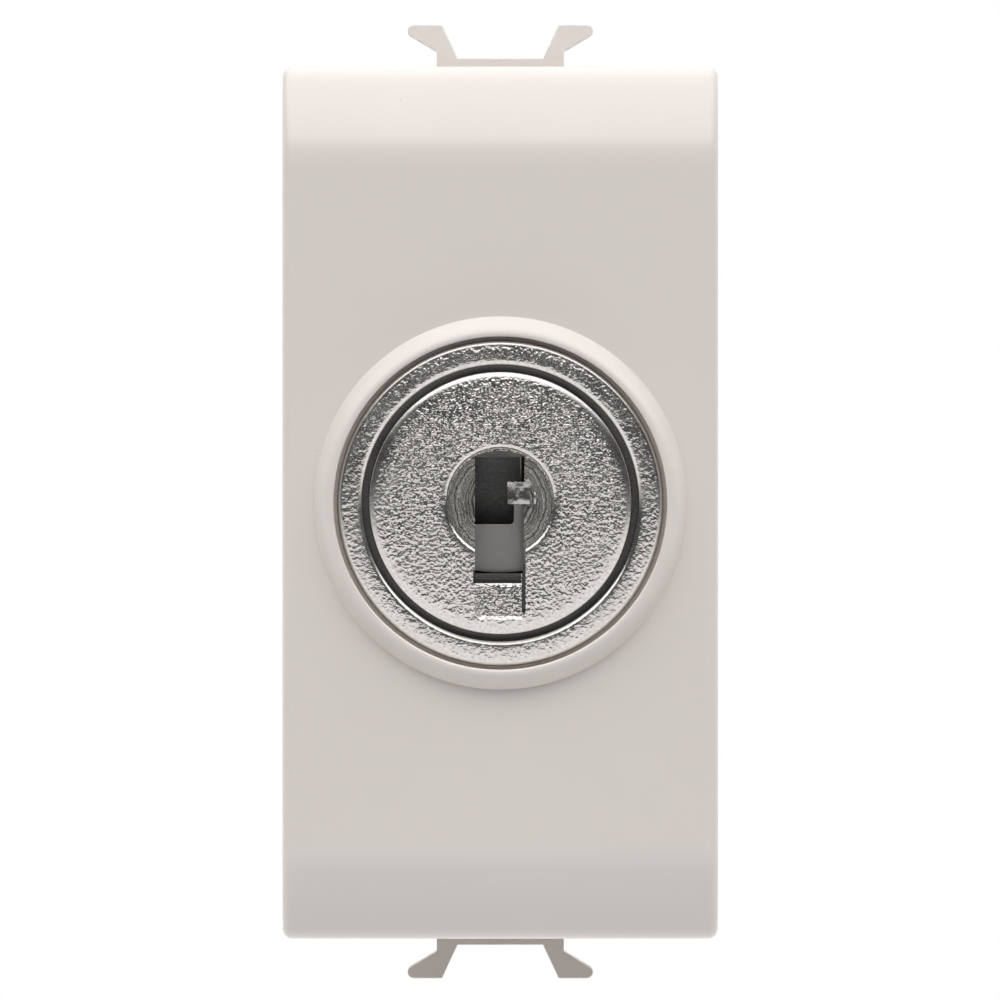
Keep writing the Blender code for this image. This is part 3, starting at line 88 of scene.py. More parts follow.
# Lock body
LOCK_FACE = -11.95
RING_INNER = 7.1
RING_OUTER = 8.35
RING_EDGE = 0.24  # of its rounded edges
RING_LEAN = 0.085  # how far its face falls back towards the outside
RING_BACK = -10.05
BARREL_RADIUS = 7.8
BARREL_BACK = 2.5
BARREL_GAP = 0.1  # around it, in the cover's hole
BORE_RADIUS = 6.1
HEAD_SEAT = -9.45
LUG_HALF_WIDTH = 1.1
LUG_HEIGHT = 0.45
LUG_GAP = 0.1  # around it, in its notch
LUG_OVERLAP = 0.4  # by which it runs into the flange and the barrel
GROOVE_HALF_WIDTH = 2.7
GROOVE_START = 5.07
GROOVE_REACH = 6.65
GROOVE_Y = (-9.35, 0.95)

# Rotor head and key opening
HEAD_RADIUS = 6.76
HEAD_BACK = -9.55
HEAD_OVERLAP = 0.03  # by which the rest of the rotor runs into the head
HEAD_FACE_RADIUS = 6.46  # where the grainy face ends
HEAD_RIM_RADIUS = 6.65  # where the edge begins to turn over
HEAD_DOME = 0.26
HEAD_RIM_FALL = 0.07
KEYHOLE_RADIUS = 2.7
KEYHOLE_CHAMFER = 0.28
KEYHOLE_EDGE_RISE = 0.1
KEYHOLE_DEPTH = 0.62  # at its edge
KEYHOLE_DISH = 0.3  # deeper than that in the middle
KEYHOLE_FLOOR_FRONT = -11.35  # the floor's faces lie behind this
KEYHOLE_FLOOR_FACING = -0.8  # and the y of their normals is below this
KEYWAY_HALF_WIDTH = 1.31
WALL_LEAN = 0.23  # of the right walls, from the face to the back
KEYWAY_FLOOR = -4.12
SILL = (-9.85, -3.62)  # y of the wall that closes the slot's foot at the back, and its top's z
FOOT_STEP = 0.09  # by which the slot's foot is wider on its left
FOOT_OVERLAP = 0.2
RAMP_FOOT = -5.8
RAMP_DEPTH = 0.5
RAMP_CORNER = 0.18
RAMP_OVERLAP = 0.3  # by which it runs into the slot
LIP_HEIGHT = 0.2  # of the slanting edges above and below the ramp
LIP_DEPTH = 0.1
SLIT_X = (1.1, 1.3)
SLIT_DEPTH = 1.5
WARD_X = (0.38, 1.5)
WARD_Y = (-11.22, -9.8)
WARD_Z = (-0.05, 1.08)
WARD_CUTS = 7
WARD_JITTER = 0.04
WARD_SEED = 3
WARD_MARGIN = 0.1  # around it, where the keyhole's floor has the cast finish
LUMP_PLACE = (1.78, -11.1, 0.26)
LUMP_RADII = (0.13, 0.25, 0.4)
LUMP_JITTER = 0.015
LUMP_SEED = 5
EDGE_WEAR = 0.035

# Wafers
WAFER_COUNT = 5
WAFER_FIRST = -8.5
WAFER_PITCH = 2.1
WAFER_THICKNESS = 1.0
WAFER_HALF_WIDTH = 2.6
WAFER_TOP_RADIUS = 5.95
WAFER_FOOT = -3.6
WAFER_FOOT_RADIUS = 8.0
WAFER_EAR = (-4.1, 1.0, 2.0)  # its tip's x, and from which z to which
WAFER_WINDOW_X = (-1.7, 0.69)
WAFER_WINDOW_Z = (-1.1, 3.4)
WAFER_WINDOW_ROUND = 0.22
WAFER_WINDOW_STEP = (1.02, 0.5)  # x to which it widens, above this z
WAFER_EDGE = 0.05

# Mounting frame and rear housing
EAR_FRONT = 2.2
EAR_FLAT = 0.28
SLANT_WITHIN = 0.01  # of the ears' front
SLANT_X = 3.2  # the lower ears' slanting tops are further out than this,
SLANT_Z = (-24.4, -23.2)  # lie between these,
SLANT_FALL = 0.3  # and fall by more than this
FRAME_EDGE = 0.12
HOUSING_EDGE = 0.1

# Terminal screws
SCREW_SHANK_RADIUS = 1.25
SCREW_HEAD_RADIUS = 2.4
SCREW_HEAD_FRONT = 22.65
SCREW_HEAD_BACK = 25.05
SCREW_HEAD_ROUND = 0.5
SCREW_UNDER_ROUND = 0.15  # of the head's lower edge
SCREW_TIP_CHAMFER = 0.25
SCREW_EDGE = 0.06
SCREW_SLOT_WIDTH = 0.7
SCREW_SLOT_DEPTH = 1.08

# Light, as (elevation in degrees, brightness) pairs
MATT_LIGHT = (
    (-90, 2.6), (-70, 2.5), (-58, 1.4), (-46, 0.6), (-36, 0.12), (4, 0.12),
    (14, 0.4), (24, 0.9), (34, 1.9), (45, 3.3), (54, 3.3), (63, 1.7), (78, 0.3),
)
GLOSS_LIGHT = (
    (-90, 1.05), (-7, 1.05), (-1.5, 0.06), (26, 0.06), (28, 1.9), (50, 1.9), (62, 0.9), (90, 0.9),
)
BACK_LIGHT = 0.8  # evenly from behind
BACK_FADE = 0.12  # sine of the angle in which the light from behind takes over
WHITE = (1.0, 1.0, 1.0, 1.0)

# Camera and floor
CAMERA_DISTANCE = 1200.0
CAMERA_LENS = 840.7
CAMERA_TILT = 0.3
CAMERA_AIM_X = -0.015
CAMERA_AIM_Z = 0.154
FLOOR_HEIGHT = -32.0
FLOOR_REACH = 200.0

# Surfaces, with heights in mm
NOISE_RANGE = (0.3, 0.7)  # where most of a noise lies
SPECK_SIZE = (0.02, 0.008)  # distances from its middle at which a speck begins and is full
SPECK_SHADE = 0.75  # of the plastic's darker colour
RIPPLE_HEIGHT = 0.01  # of moulded plastic and stamped metal
PIT_LEVELS = (0.66, 0.74)  # of the noise, at which a pit begins and is full
PIT_SHADE = 0.7  # of the metal's darker colour
PLASTIC_ROUGH_SPREAD = 0.06
METAL_ROUGH_SPREAD = 0.1
PLASTIC_IOR = 1.52
CAST_COLOURS = ((0.64, 0.61, 0.58), (0.74, 0.71, 0.68))
CAST_ROUGH = (0.16, 0.26)
GRAIN_BY_RADIUS = (  # (mm from the lock's axis, strength) pairs
    (0, 0.3), (3.05, 0.3), (3.15, 1.0), (5.9, 1.0), (6.4, 0.5), (6.5, 0.05),
    (7.25, 0.05), (7.38, 0.6), (8.06, 0.6), (8.16, 0.05),
)
GRAIN_REACH = 10.0  # mm from the axis to which those are spread
GRAIN_HEIGHT = 0.07
PAINTED_SHADE_START = 0.55  # behind the lock's face, where painted shade in the gaps begins
PAINTED_SHADE_REACH = 0.4  # in which that painted shade deepens to full
PAINTED_SHADE_GRAIN = 0.05  # strength of the grain where the shade is painted
# painted shade: the colour that gaps behind the lock's face darken to
PAINTED_SHADE_COLOUR = (0.25, 0.245, 0.24)
TURNED_COLOURS = ((0.13, 0.125, 0.12), (0.58, 0.56, 0.53))
TURNED_ROUGH = (0.2, 0.32)
TURNED_RINGS = 9000.0  # to the metre
TURNED_WOBBLE = 3.0  # rings
TURNED_FINE = 1.2  # share of the fine marks against the rings
TURNED_HEIGHT = 0.22
FINISH = "_finish"  # ends the name of each material

# Facets
FINE_ROUND = 192
MEDIUM_ROUND = 96
SMALL_ROUND = 64


def only(piece):
    """Selects one object and makes it the active one."""
    bpy.ops.object.select_all(action="DESELECT")
    piece.select_set(True)
    bpy.context.view_layer.objects.active = piece


def open_edit(piece, kind="VERT"):
    """Edit mode on one object, with nothing selected."""
    only(piece)
    bpy.ops.object.mode_set(mode="EDIT")
    bpy.ops.mesh.select_mode(type=kind)
    bpy.ops.mesh.select_all(action="DESELECT")


def close_edit():
    """Leaves edit mode with doubled points merged and every face pointing out."""
    bpy.ops.mesh.select_all(action="SELECT")
    bpy.ops.mesh.remove_doubles(threshold=WELD)
    bpy.ops.mesh.normals_make_consistent(inside=False)
    bpy.ops.object.mode_set(mode="OBJECT")


def pick(piece, kind, test):
    """Selects the verts, edges or faces that pass a test. The object is in edit mode."""
    shape = bmesh.from_edit_mesh(piece.data)
    for each in getattr(shape, kind):
        each.select_set(test(each))
    bmesh.update_edit_mesh(piece.data)


def apply_place(piece):
    """Applies an object's place, turn and scale to its mesh."""
    only(piece)
    bpy.ops.object.transform_apply(location=True, rotation=True, scale=True)
    return piece


def moved(piece, move):
    """Moves an object and applies its new place."""
    only(piece)
    bpy.ops.transform.translate(value=move)
    return apply_place(piece)


def copied(piece, name, move):
    """Copy of an object at another place."""
    only(piece)
    bpy.ops.object.duplicate()
    other = bpy.context.active_object
    other.name = name
    return moved(other, move)


def steps(start, end, count):
    """Even steps from one number to another, both among them."""
    return [start + (end - start) * step / count for step in range(count + 1)]


def arc(centre, radius, start, end, count):
    """Points of an arc, from one angle to another."""
    return [
        (centre[0] + radius * math.cos(a), centre[1] + radius * math.sin(a))
        for a in steps(start, end, count)
    ]


def drawn(name, points):
    """Closed wire in edit mode, each point extruded from the one before it."""
    bpy.ops.object.select_all(action="DESELECT")
    bpy.ops.mesh.primitive_plane_add(size=1.0)
    piece = bpy.context.active_object
    piece.name = name
    bpy.ops.object.mode_set(mode="EDIT")
    bpy.ops.mesh.select_mode(type="VERT")
    bpy.ops.mesh.select_all(action="SELECT")
    bpy.ops.mesh.merge(type="CENTER")
    bpy.ops.transform.translate(value=points[0])
    for before, after in zip(points, [*points[1:], points[0]]):
        move = Vector(after) - Vector(before)
        bpy.ops.mesh.extrude_vertices_move(TRANSFORM_OT_translate={"value": move})
    bpy.ops.mesh.select_all(action="SELECT")
    bpy.ops.mesh.remove_doubles(threshold=WELD)
    return piece


def prism(name, outline, low, high, axis="Y"):
    """Outline filled and extruded along an axis. Its points are (x, z) along Y and (y, z) along X."""
    if axis == "Y":
        points = [(u, low, v) for u, v in outline]
        move = (0.0, high - low, 0.0)
    else:
        points = [(low, u, v) for u, v in outline]
        move = (high - low, 0.0, 0.0)
    piece = drawn(name, points)
    bpy.ops.mesh.edge_face_add()
    bpy.ops.mesh.extrude_region_move(TRANSFORM_OT_translate={"value": move})
    close_edit()
    return piece


def turned(name, profile, rounds):
    """Profile of (radius, y) points spun about the lock's axis."""
    piece = drawn(name, [(radius, y, 0.0) for radius, y in profile])
    bpy.ops.mesh.spin(steps=rounds, angle=math.tau, center=(0.0, 0.0, 0.0), axis=(0.0, 1.0, 0.0))
    close_edit()
    return piece


def block(name, x, y, z):
    """Cube added at its size and place."""
    bpy.ops.object.select_all(action="DESELECT")
    middle = [(low + high) / 2 for low, high in (x, y, z)]
    size = [high - low for low, high in (x, y, z)]
    bpy.ops.mesh.primitive_cube_add(size=1.0, location=middle, scale=size)
    piece = bpy.context.active_object
    piece.name = name
    return apply_place(piece)


def combine(piece, operation, *tools):
    """Boolean of a piece with each tool in turn. The tools are used up."""
    for tool in tools:
        only(piece)
        modifier = piece.modifiers.new("shape", "BOOLEAN")
        modifier.operation = operation
        modifier.solver = "EXACT"
        modifier.object = tool
        bpy.ops.object.modifier_apply(modifier=modifier.name)
        bpy.data.objects.remove(tool)
    return piece


def cut(piece, *tools):
    """Takes tools away from a piece."""
    return combine(piece, "DIFFERENCE", *tools)


def join(piece, *tools):
    """Adds tools to a piece."""
    return combine(piece, "UNION", *tools)


def soften(piece, width, rounds, angle, clamp=True):
    """Rounds the edges that are sharper than an angle in degrees."""
    only(piece)
    modifier = piece.modifiers.new("edges", "BEVEL")
    modifier.width = width
    modifier.segments = rounds
    modifier.limit_method = "ANGLE"
    modifier.angle_limit = math.radians(angle)
    modifier.use_clamp_overlap = clamp
    bpy.ops.object.modifier_apply(modifier=modifier.name)
    return piece


def copy_of(name, source):
    """Copy of a CAD node in millimetres, with its loose triangles merged and flat faces made whole."""
    piece = bpy.data.objects.new(name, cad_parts[source].data.copy())
    bpy.context.scene.collection.objects.link(piece)
    piece.scale = (1 / MM, 1 / MM, 1 / MM)
    apply_place(piece)
    bpy.ops.mesh.customdata_custom_splitnormals_clear()
    open_edit(piece)
    bpy.ops.mesh.select_all(action="SELECT")
    bpy.ops.mesh.remove_doubles(threshold=CAD_WELD)
    bpy.ops.mesh.dissolve_limited(angle_limit=math.radians(CAD_FLAT))
    close_edit()
    return piece


def finished(piece, body, look, *nodes):
    """Scales a piece to metres, shades it, and puts it in the place of CAD nodes."""
    piece.scale = (MM, MM, MM)
    apply_place(piece)
    bpy.ops.object.shade_smooth_by_angle(angle=math.radians(SMOOTH_ANGLE))
    modifier = piece.modifiers.new("flat faces", "WEIGHTED_NORMAL")
    modifier.keep_sharp = True
    bpy.ops.object.modifier_apply(modifier=modifier.name)
    if not piece.data.materials or piece.data.materials[0] is not look:
        piece.data.materials.clear()
        piece.data.materials.append(look)
    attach(piece, body)
    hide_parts(*nodes)
    slot_of(look)
    return piece


def cover_outline():
    """Side view of the cover as (y, z) points: flat front, ends that bend back, rounded corners."""
    y = COVER_FRONT
    half = [(y, COVER_HALF_HEIGHT - END_LEAN[0][0])]
    for (far, less), (near, more) in zip(END_LEAN, END_LEAN[1:]):
        for share in steps(0.0, 1.0, END_STEPS)[1:]:
            lean = less + (more - less) * (share - 0.5 / END_STEPS)
            y += (far - near) / END_STEPS * math.tan(math.radians(lean))
            half.append((y, COVER_HALF_HEIGHT - far + (far - near) * share))
    lean = math.radians(END_LEAN[-1][1])
    bend = END_LEAN[-1][0] / (1 - math.sin(lean))
    corner = (y + bend * math.cos(lean), COVER_HALF_HEIGHT - bend)
    half += arc(corner, bend, math.pi - lean, math.pi / 2, count=10)[1:]
    half.append((COVER_BACK, COVER_HALF_HEIGHT))
    return half + [(y, -z) for y, z in reversed(half)]


def collar():
    """Raised ring around the lock, as a low dome before the hole is cut."""
    crest = COVER_FRONT - COLLAR_HEIGHT
    rise = COLLAR_OUTER - COLLAR_INNER - COLLAR_CREST_WIDTH
    profile = [(0.0, crest)]
    for share in steps(0.0, 1.0, count=14):
        height = COLLAR_HEIGHT * math.cos(share * math.pi / 2)
        profile.append((COLLAR_OUTER - rise + rise * share, COVER_FRONT - height))
    profile += [(COLLAR_OUTER, COVER_FRONT + PAST), (0.0, COVER_FRONT + PAST)]
    return turned("collar", profile, FINE_ROUND)


def lock_hole():
    """Stepped hole for the lock, which leaves the collar's inner edge rounded."""
    crest = COVER_FRONT - COLLAR_HEIGHT
    edge = COLLAR_EDGE_ROUND
    profile = [(0.0, crest - PAST), (COLLAR_INNER + edge, crest - PAST)]
    for angle in steps(math.pi / 2, 0.0, count=5):
        radius = COLLAR_INNER + edge - edge * math.cos(angle)
        profile.append((radius, crest + edge - edge * math.sin(angle)))
    inside = COVER_FRONT + COVER_FRONT_WALL + PAST
    bore = BARREL_RADIUS + BARREL_GAP
    ledge = crest + LEDGE_DEPTH
    profile += [(COLLAR_INNER, ledge), (LEDGE_RADIUS, ledge), (LEDGE_RADIUS, RING_SEAT)]
    profile += [(bore, RING_SEAT), (bore, inside), (0.0, inside)]
    return turned("lock_hole", profile, FINE_ROUND)


def lug(name, gap, back):
    """Rib under the lock's flange, or its notch in the cover."""
    half = LUG_HALF_WIDTH + gap
    reach = BARREL_RADIUS + LUG_HEIGHT + gap
    y = (RING_BACK - LUG_OVERLAP, back)
    return block(name, (-half, half), y, (-reach, LUG_OVERLAP - BARREL_RADIUS))


def front_cover(look):
    """Cover shell with curved ends, collar and the hole for the lock."""
    cover = prism("cover", cover_outline(), -COVER_HALF_WIDTH, COVER_HALF_WIDTH, "X")
    soften(cover, COVER_EDGE_ROUND, rounds=6, angle=60, clamp=False)
    inside = COVER_FRONT + COVER_FRONT_WALL
    half_x = COVER_HALF_WIDTH - COVER_WALL
    half_z = COVER_HALF_HEIGHT - COVER_WALL
    room = block("room", (-half_x, half_x), (inside, COVER_BACK + PAST), (-half_z, half_z))
    cut(cover, room)
    join(cover, collar())
    cut(cover, lock_hole(), lug("lug_notch", LUG_GAP, inside + PAST))
    return finished(cover, "base", look, "front_cover")


def lock_body(look):
    """Barrel with its flange ring, whose face leans back a little towards the outside."""
    edge = RING_EDGE
    inner = arc((RING_INNER + edge, LOCK_FACE + edge), edge, math.pi, 1.5 * math.pi, count=6)
    outer_y = LOCK_FACE + RING_LEAN + edge
    outer = arc((RING_OUTER - edge, outer_y), edge, -math.pi / 2, 0.0, count=6)
    width = RING_OUTER - RING_INNER - 2 * edge
    middle = [
        (RING_INNER + edge + width * share, LOCK_FACE + RING_LEAN * share**2)
        for share in steps(0.0, 1.0, count=8)[1:-1]
    ]
    profile = [
        *inner,
        *middle,
        *outer,
        (RING_OUTER, RING_BACK),
        (BARREL_RADIUS, RING_BACK),
        (BARREL_RADIUS, BARREL_BACK),
        (BORE_RADIUS, BARREL_BACK),
        (BORE_RADIUS, HEAD_SEAT),
        (RING_INNER, HEAD_SEAT),
    ]
    barrel = turned("lock_barrel", profile, FINE_ROUND)
    join(barrel, lug("lug", 0.0, COVER_FRONT + COVER_FRONT_WALL))
    across = (-GROOVE_HALF_WIDTH, GROOVE_HALF_WIDTH)
    reach = (GROOVE_START, GROOVE_REACH)
    cut(barrel, block("groove", across, GROOVE_Y, reach), block("groove", reach, GROOVE_Y, across))
    return finished(barrel, "base", look, "lock_body")


def face_at(radius):
    """Depth of the rotor's domed face."""
    return LOCK_FACE + HEAD_DOME * (radius / HEAD_FACE_RADIUS) ** 3


def head_profile():
    """Half section of the rotor's head: slightly domed face, a slanting rim, a round edge."""
    face = [(radius, face_at(radius)) for radius in steps(0.0, HEAD_FACE_RADIUS, count=16)]
    rim_y = LOCK_FACE + HEAD_DOME + HEAD_RIM_FALL
    edge = HEAD_RADIUS - HEAD_RIM_RADIUS
    lean = math.atan(HEAD_RIM_FALL / (HEAD_RIM_RADIUS - HEAD_FACE_RADIUS))
    corner = arc((HEAD_RIM_RADIUS, rim_y + edge), edge, lean - math.pi / 2, 0.0, count=8)
    return [*face, *corner, (HEAD_RADIUS, HEAD_BACK), (0.0, HEAD_BACK)]


def keyhole_edge():
    """Cutter for the recess's rounded edge, which is wider at the top."""
    edge = KEYHOLE_CHAMFER
    reach = KEYHOLE_RADIUS + edge
    depth = face_at(KEYHOLE_RADIUS) + edge
    corner = arc((reach, depth), edge, -math.pi / 2, -math.pi, count=6)
    top = LOCK_FACE - PAST
    tool = turned("keyhole_edge", [(0.0, top), (reach, top), *corner, (0.0, depth)], MEDIUM_ROUND)
    return moved(tool, (0.0, 0.0, KEYHOLE_EDGE_RISE))


def keyhole():
    """Round recess with a dished floor."""
    floor = [
        (KEYHOLE_RADIUS * share, LOCK_FACE + KEYHOLE_DEPTH + KEYHOLE_DISH * (1 - share**2))
        for share in steps(1.0, 0.0, count=10)
    ]
    top = LOCK_FACE - PAST
    return turned("keyhole", [(0.0, top), (KEYHOLE_RADIUS, top), *floor], MEDIUM_ROUND)


def lean_in(tool, back):
    """Leans the right side of a cutter, so that the wall it leaves is seen from the front."""
    slope = WALL_LEAN / (HEAD_BACK - LOCK_FACE)
    right = KEYWAY_HALF_WIDTH / 2
    for level in (LOCK_FACE - PAST, back):
        open_edit(tool)
        pick(tool, "verts", lambda point: abs(point.co.y - level) < WELD and point.co.x > right)
        bpy.ops.transform.translate(value=(slope * (LOCK_FACE - level), 0.0, 0.0))
        close_edit()
    return tool


def keyway():
    """Slot through the head, which ends in the keyhole's circle at the top."""
    corner = math.acos(KEYWAY_HALF_WIDTH / KEYHOLE_RADIUS)
    top = arc((0.0, 0.0), KEYHOLE_RADIUS, corner, math.pi - corner, count=16)
    outline = [(-KEYWAY_HALF_WIDTH, SILL[1]), (KEYWAY_HALF_WIDTH, SILL[1]), *top]
    back = HEAD_BACK + PAST
    return lean_in(prism("keyway", outline, LOCK_FACE - PAST, back), back)


def keyway_foot():
    """The slot's foot, which stops short of the head's back."""
    x = (-KEYWAY_HALF_WIDTH - FOOT_STEP, KEYWAY_HALF_WIDTH - WALL_LEAN)
    return block("foot", x, (LOCK_FACE - PAST, SILL[0]), (KEYWAY_FLOOR, SILL[1] + FOOT_OVERLAP))


def ramp():
    """Shallow pocket below the slot, with round lower corners."""
    left = -KEYWAY_HALF_WIDTH
    right = KEYWAY_HALF_WIDTH
    foot = RAMP_FOOT + RAMP_CORNER
    outline = [
        (right, KEYWAY_FLOOR + RAMP_OVERLAP),
        (left, KEYWAY_FLOOR + RAMP_OVERLAP),
        *arc((left + RAMP_CORNER, foot), RAMP_CORNER, math.pi, 1.5 * math.pi, count=5),
        *arc((right - RAMP_CORNER, foot), RAMP_CORNER, -math.pi / 2, 0.0, count=5),
    ]
    back = LOCK_FACE + RAMP_DEPTH
    return lean_in(prism("ramp", outline, LOCK_FACE - PAST, back), back)


def lips():
    """Cutters for the two edges that catch the light, where the ramp meets the slot and the face."""
    floor = LOCK_FACE + RAMP_DEPTH
    upper = [
        (floor, KEYWAY_FLOOR - LIP_HEIGHT),
        (floor + LIP_DEPTH, KEYWAY_FLOOR),
        (floor + LIP_DEPTH, KEYWAY_FLOOR + LIP_HEIGHT),
        (floor - PAST, KEYWAY_FLOOR + LIP_HEIGHT),
        (floor - PAST, KEYWAY_FLOOR - LIP_HEIGHT),
    ]
    face = face_at(LIP_HEIGHT - RAMP_FOOT)
    lower = [
        (face + LIP_DEPTH, RAMP_FOOT),
        (face - LIP_DEPTH, RAMP_FOOT - 2 * LIP_HEIGHT),
        (face - PAST, RAMP_FOOT - 2 * LIP_HEIGHT),
        (face - PAST, RAMP_FOOT + LIP_HEIGHT),
        (face + LIP_DEPTH, RAMP_FOOT + LIP_HEIGHT),
    ]
    left = -KEYWAY_HALF_WIDTH
    yield prism("upper_lip", upper, left, KEYWAY_HALF_WIDTH - WALL_LEAN, "X")
    yield prism("lower_lip", lower, left + RAMP_CORNER, KEYWAY_HALF_WIDTH - RAMP_CORNER, "X")


def slit():
    """Narrow groove that carries the slot's right wall on beside the ramp."""
    y = (LOCK_FACE - PAST, LOCK_FACE + SLIT_DEPTH)
    return block("slit", SLIT_X, y, (RAMP_FOOT + RAMP_CORNER, KEYWAY_FLOOR + PAST))


def roughened(piece, cuts, jitter, seed):
    """Breaks up a casting's faces, so that they look as if they came from a worn mould."""
    open_edit(piece)
    bpy.ops.mesh.select_all(action="SELECT")
    if cuts:
        bpy.ops.mesh.subdivide(number_cuts=cuts)
    bpy.ops.transform.vertex_random(offset=jitter, seed=seed)
    close_edit()
    return piece


def ward(look):
    """Rough block at the slot's right side, and a low lump beside it on the keyhole's floor."""
    piece = block("rotor_ward", WARD_X, WARD_Y, WARD_Z)
    roughened(piece, WARD_CUTS, WARD_JITTER, WARD_SEED)
    finished(piece, "rotor", look, "lock_rotor")
    bpy.ops.object.select_all(action="DESELECT")
    bpy.ops.mesh.primitive_ico_sphere_add(
        subdivisions=4, radius=1.0, location=LUMP_PLACE, scale=LUMP_RADII
    )
    lump = apply_place(bpy.context.active_object)
    lump.name = "rotor_lump"
    roughened(lump, 0, LUMP_JITTER, LUMP_SEED)
    return finished(lump, "rotor", look, "lock_rotor")


def rotor_head(look, floor_look):
    """Head of the rotor with the key opening. The keyhole's floor keeps its turning marks."""
    head = turned("rotor_head", head_profile(), FINE_ROUND)
    cut(head, keyhole(), keyhole_edge(), keyway(), keyway_foot(), ramp(), *lips(), slit())
    soften(head, EDGE_WEAR, rounds=2, angle=50)
    head.data.materials.append(look)
    head.data.materials.append(floor_look)
    open_edit(head, "FACE")
    pick(head, "faces", on_keyhole_floor)
    head.active_material_index = 1
    bpy.ops.object.material_slot_assign()
    close_edit()
    return finished(head, "rotor", look, "lock_rotor")


def on_keyhole_floor(face):
    """Whether a face of the head is on the keyhole's floor, and not around the ward."""
    place = face.calc_center_median()
    deep = KEYHOLE_FLOOR_FRONT < place.y < LOCK_FACE + KEYHOLE_DEPTH + KEYHOLE_DISH
    inside = math.hypot(place.x, place.z) < KEYHOLE_RADIUS
    beside = WARD_X[0] - WARD_MARGIN < place.x < WARD_X[1]
    level = WARD_Z[0] - WARD_MARGIN < place.z < WARD_Z[1] + WARD_MARGIN
    return face.normal.y < KEYHOLE_FLOOR_FACING and deep and inside and not (beside and level)


def rotor_barrel(look):
    """The rest of the rotor, behind its head."""
    barrel = copy_of("rotor_barrel", "lock_rotor")
    reach = HEAD_RADIUS + PAST
    y = (LOCK_FACE - PAST, HEAD_BACK - HEAD_OVERLAP)
    cut(barrel, block("front", (-reach, reach), y, (-reach, reach)))
    return finished(barrel, "rotor", look, "lock_rotor")


def wafers(look):
    """The row of locking wafers, modelled once and copied."""
    half = WAFER_HALF_WIDTH
    top = math.acos(half / WAFER_TOP_RADIUS)
    foot = math.asin(half / WAFER_FOOT_RADIUS)
    foot_centre = (0.0, WAFER_FOOT + WAFER_FOOT_RADIUS)
    down = math.pi / 2
    ear_tip, ear_low, ear_high = WAFER_EAR
    outline = [
        *arc((0.0, 0.0), WAFER_TOP_RADIUS, top, math.pi - top, count=24),
        (-half, ear_high),
        (ear_tip, ear_high),
        (ear_tip, ear_low),
        (-half, ear_low),
        *arc(foot_centre, WAFER_FOOT_RADIUS, -down - foot, foot - down, count=24),
    ]
    back = WAFER_FIRST + WAFER_THICKNESS / 2
    front = back - WAFER_THICKNESS
    wafer = prism("wafer_plate_1", outline, front, back)
    low, high = WAFER_WINDOW_Z
    left, right = WAFER_WINDOW_X
    bend = WAFER_WINDOW_ROUND
    wide, step = WAFER_WINDOW_STEP
    window = [
        (right, step),
        (wide, step),
        (wide, high),
        (left, high),
        *arc((left + bend, low + bend), bend, math.pi, 1.5 * math.pi, count=5),
        *arc((right - bend, low + bend), bend, -math.pi / 2, 0.0, count=5),
    ]
    cut(wafer, prism("window", window, front - PAST, back + PAST))
    soften(wafer, WAFER_EDGE, rounds=2, angle=40)
    for index in range(1, WAFER_COUNT):
        other = copied(wafer, f"wafer_plate_{index + 1}", (0.0, index * WAFER_PITCH, 0.0))
        finished(other, f"locking_wafer_{index + 1}", look, f"wafer_{index + 1}")
    return finished(wafer, "locking_wafer_1", look, "wafer_1")


def mounting_frame(look):
    """Carrier behind the cover, with softened edges and a flat on the lower ears' slanting tops."""
    piece = copy_of("carrier_frame", "mounting_frame")
    open_edit(piece, "EDGE")
    pick(piece, "edges", on_lower_slant)
    bpy.ops.mesh.bevel(offset=EAR_FLAT, segments=1, affect="EDGES")
    close_edit()
    soften(piece, FRAME_EDGE, rounds=3, angle=30)
    return finished(piece, "base", look, "mounting_frame")


def on_lower_slant(edge):
    """Whether an edge is the front edge of a lower ear's slanting upper face."""
    one, other = (point.co for point in edge.verts)
    low, high = sorted((one.z, other.z))
    at_front = max(abs(one.y - EAR_FRONT), abs(other.y - EAR_FRONT)) < SLANT_WITHIN
    far_out = min(abs(one.x), abs(other.x)) > SLANT_X
    on_ear = SLANT_Z[0] < low and high < SLANT_Z[1]
    return at_front and far_out and on_ear and high - low > SLANT_FALL


def rear_housing(look):
    """Rear box with softened edges."""
    piece = copy_of("rear_box", "rear_housing")
    soften(piece, HOUSING_EDGE, rounds=2, angle=40)
    return finished(piece, "base", look, "rear_housing")


def terminal_screws(look):
    """Slotted screws with rounded heads, modelled once and copied."""
    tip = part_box("terminal_screw_upper_left")[0].y / MM
    shank = SCREW_SHANK_RADIUS
    bend = SCREW_HEAD_ROUND
    under = SCREW_UNDER_ROUND
    profile = [
        (0.0, tip),
        (shank - SCREW_TIP_CHAMFER, tip),
        (shank, tip + SCREW_TIP_CHAMFER),
        (shank, SCREW_HEAD_FRONT),
        *arc((SCREW_HEAD_RADIUS - under, SCREW_HEAD_FRONT + under), under, -math.pi / 2, 0.0, count=4),
        *arc((SCREW_HEAD_RADIUS - bend, SCREW_HEAD_BACK - bend), bend, 0.0, math.pi / 2, count=8),
        (0.0, SCREW_HEAD_BACK),
    ]
    first = turned("screw_upper_left", profile, SMALL_ROUND)
    half = SCREW_SLOT_WIDTH / 2
    reach = SCREW_HEAD_RADIUS + PAST
    floor = SCREW_HEAD_BACK - SCREW_SLOT_DEPTH
    cut(first, block("slot", (-reach, reach), (floor, SCREW_HEAD_BACK + PAST), (-half, half)))
    soften(first, SCREW_EDGE, rounds=2, angle=40)
    for level in ("upper", "lower"):
        for side in ("left", "right"):
            node_low, node_high = (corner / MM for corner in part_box(f"terminal_screw_{level}_{side}"))
            place = (node_low + node_high) / 2
            screw = copied(first, f"slotted_screw_{level}_{side}", (place.x, 0.0, place.z))
            finished(screw, f"clamp_{level}_{side}", look, f"terminal_screw_{level}_{side}")
    bpy.data.objects.remove(first)


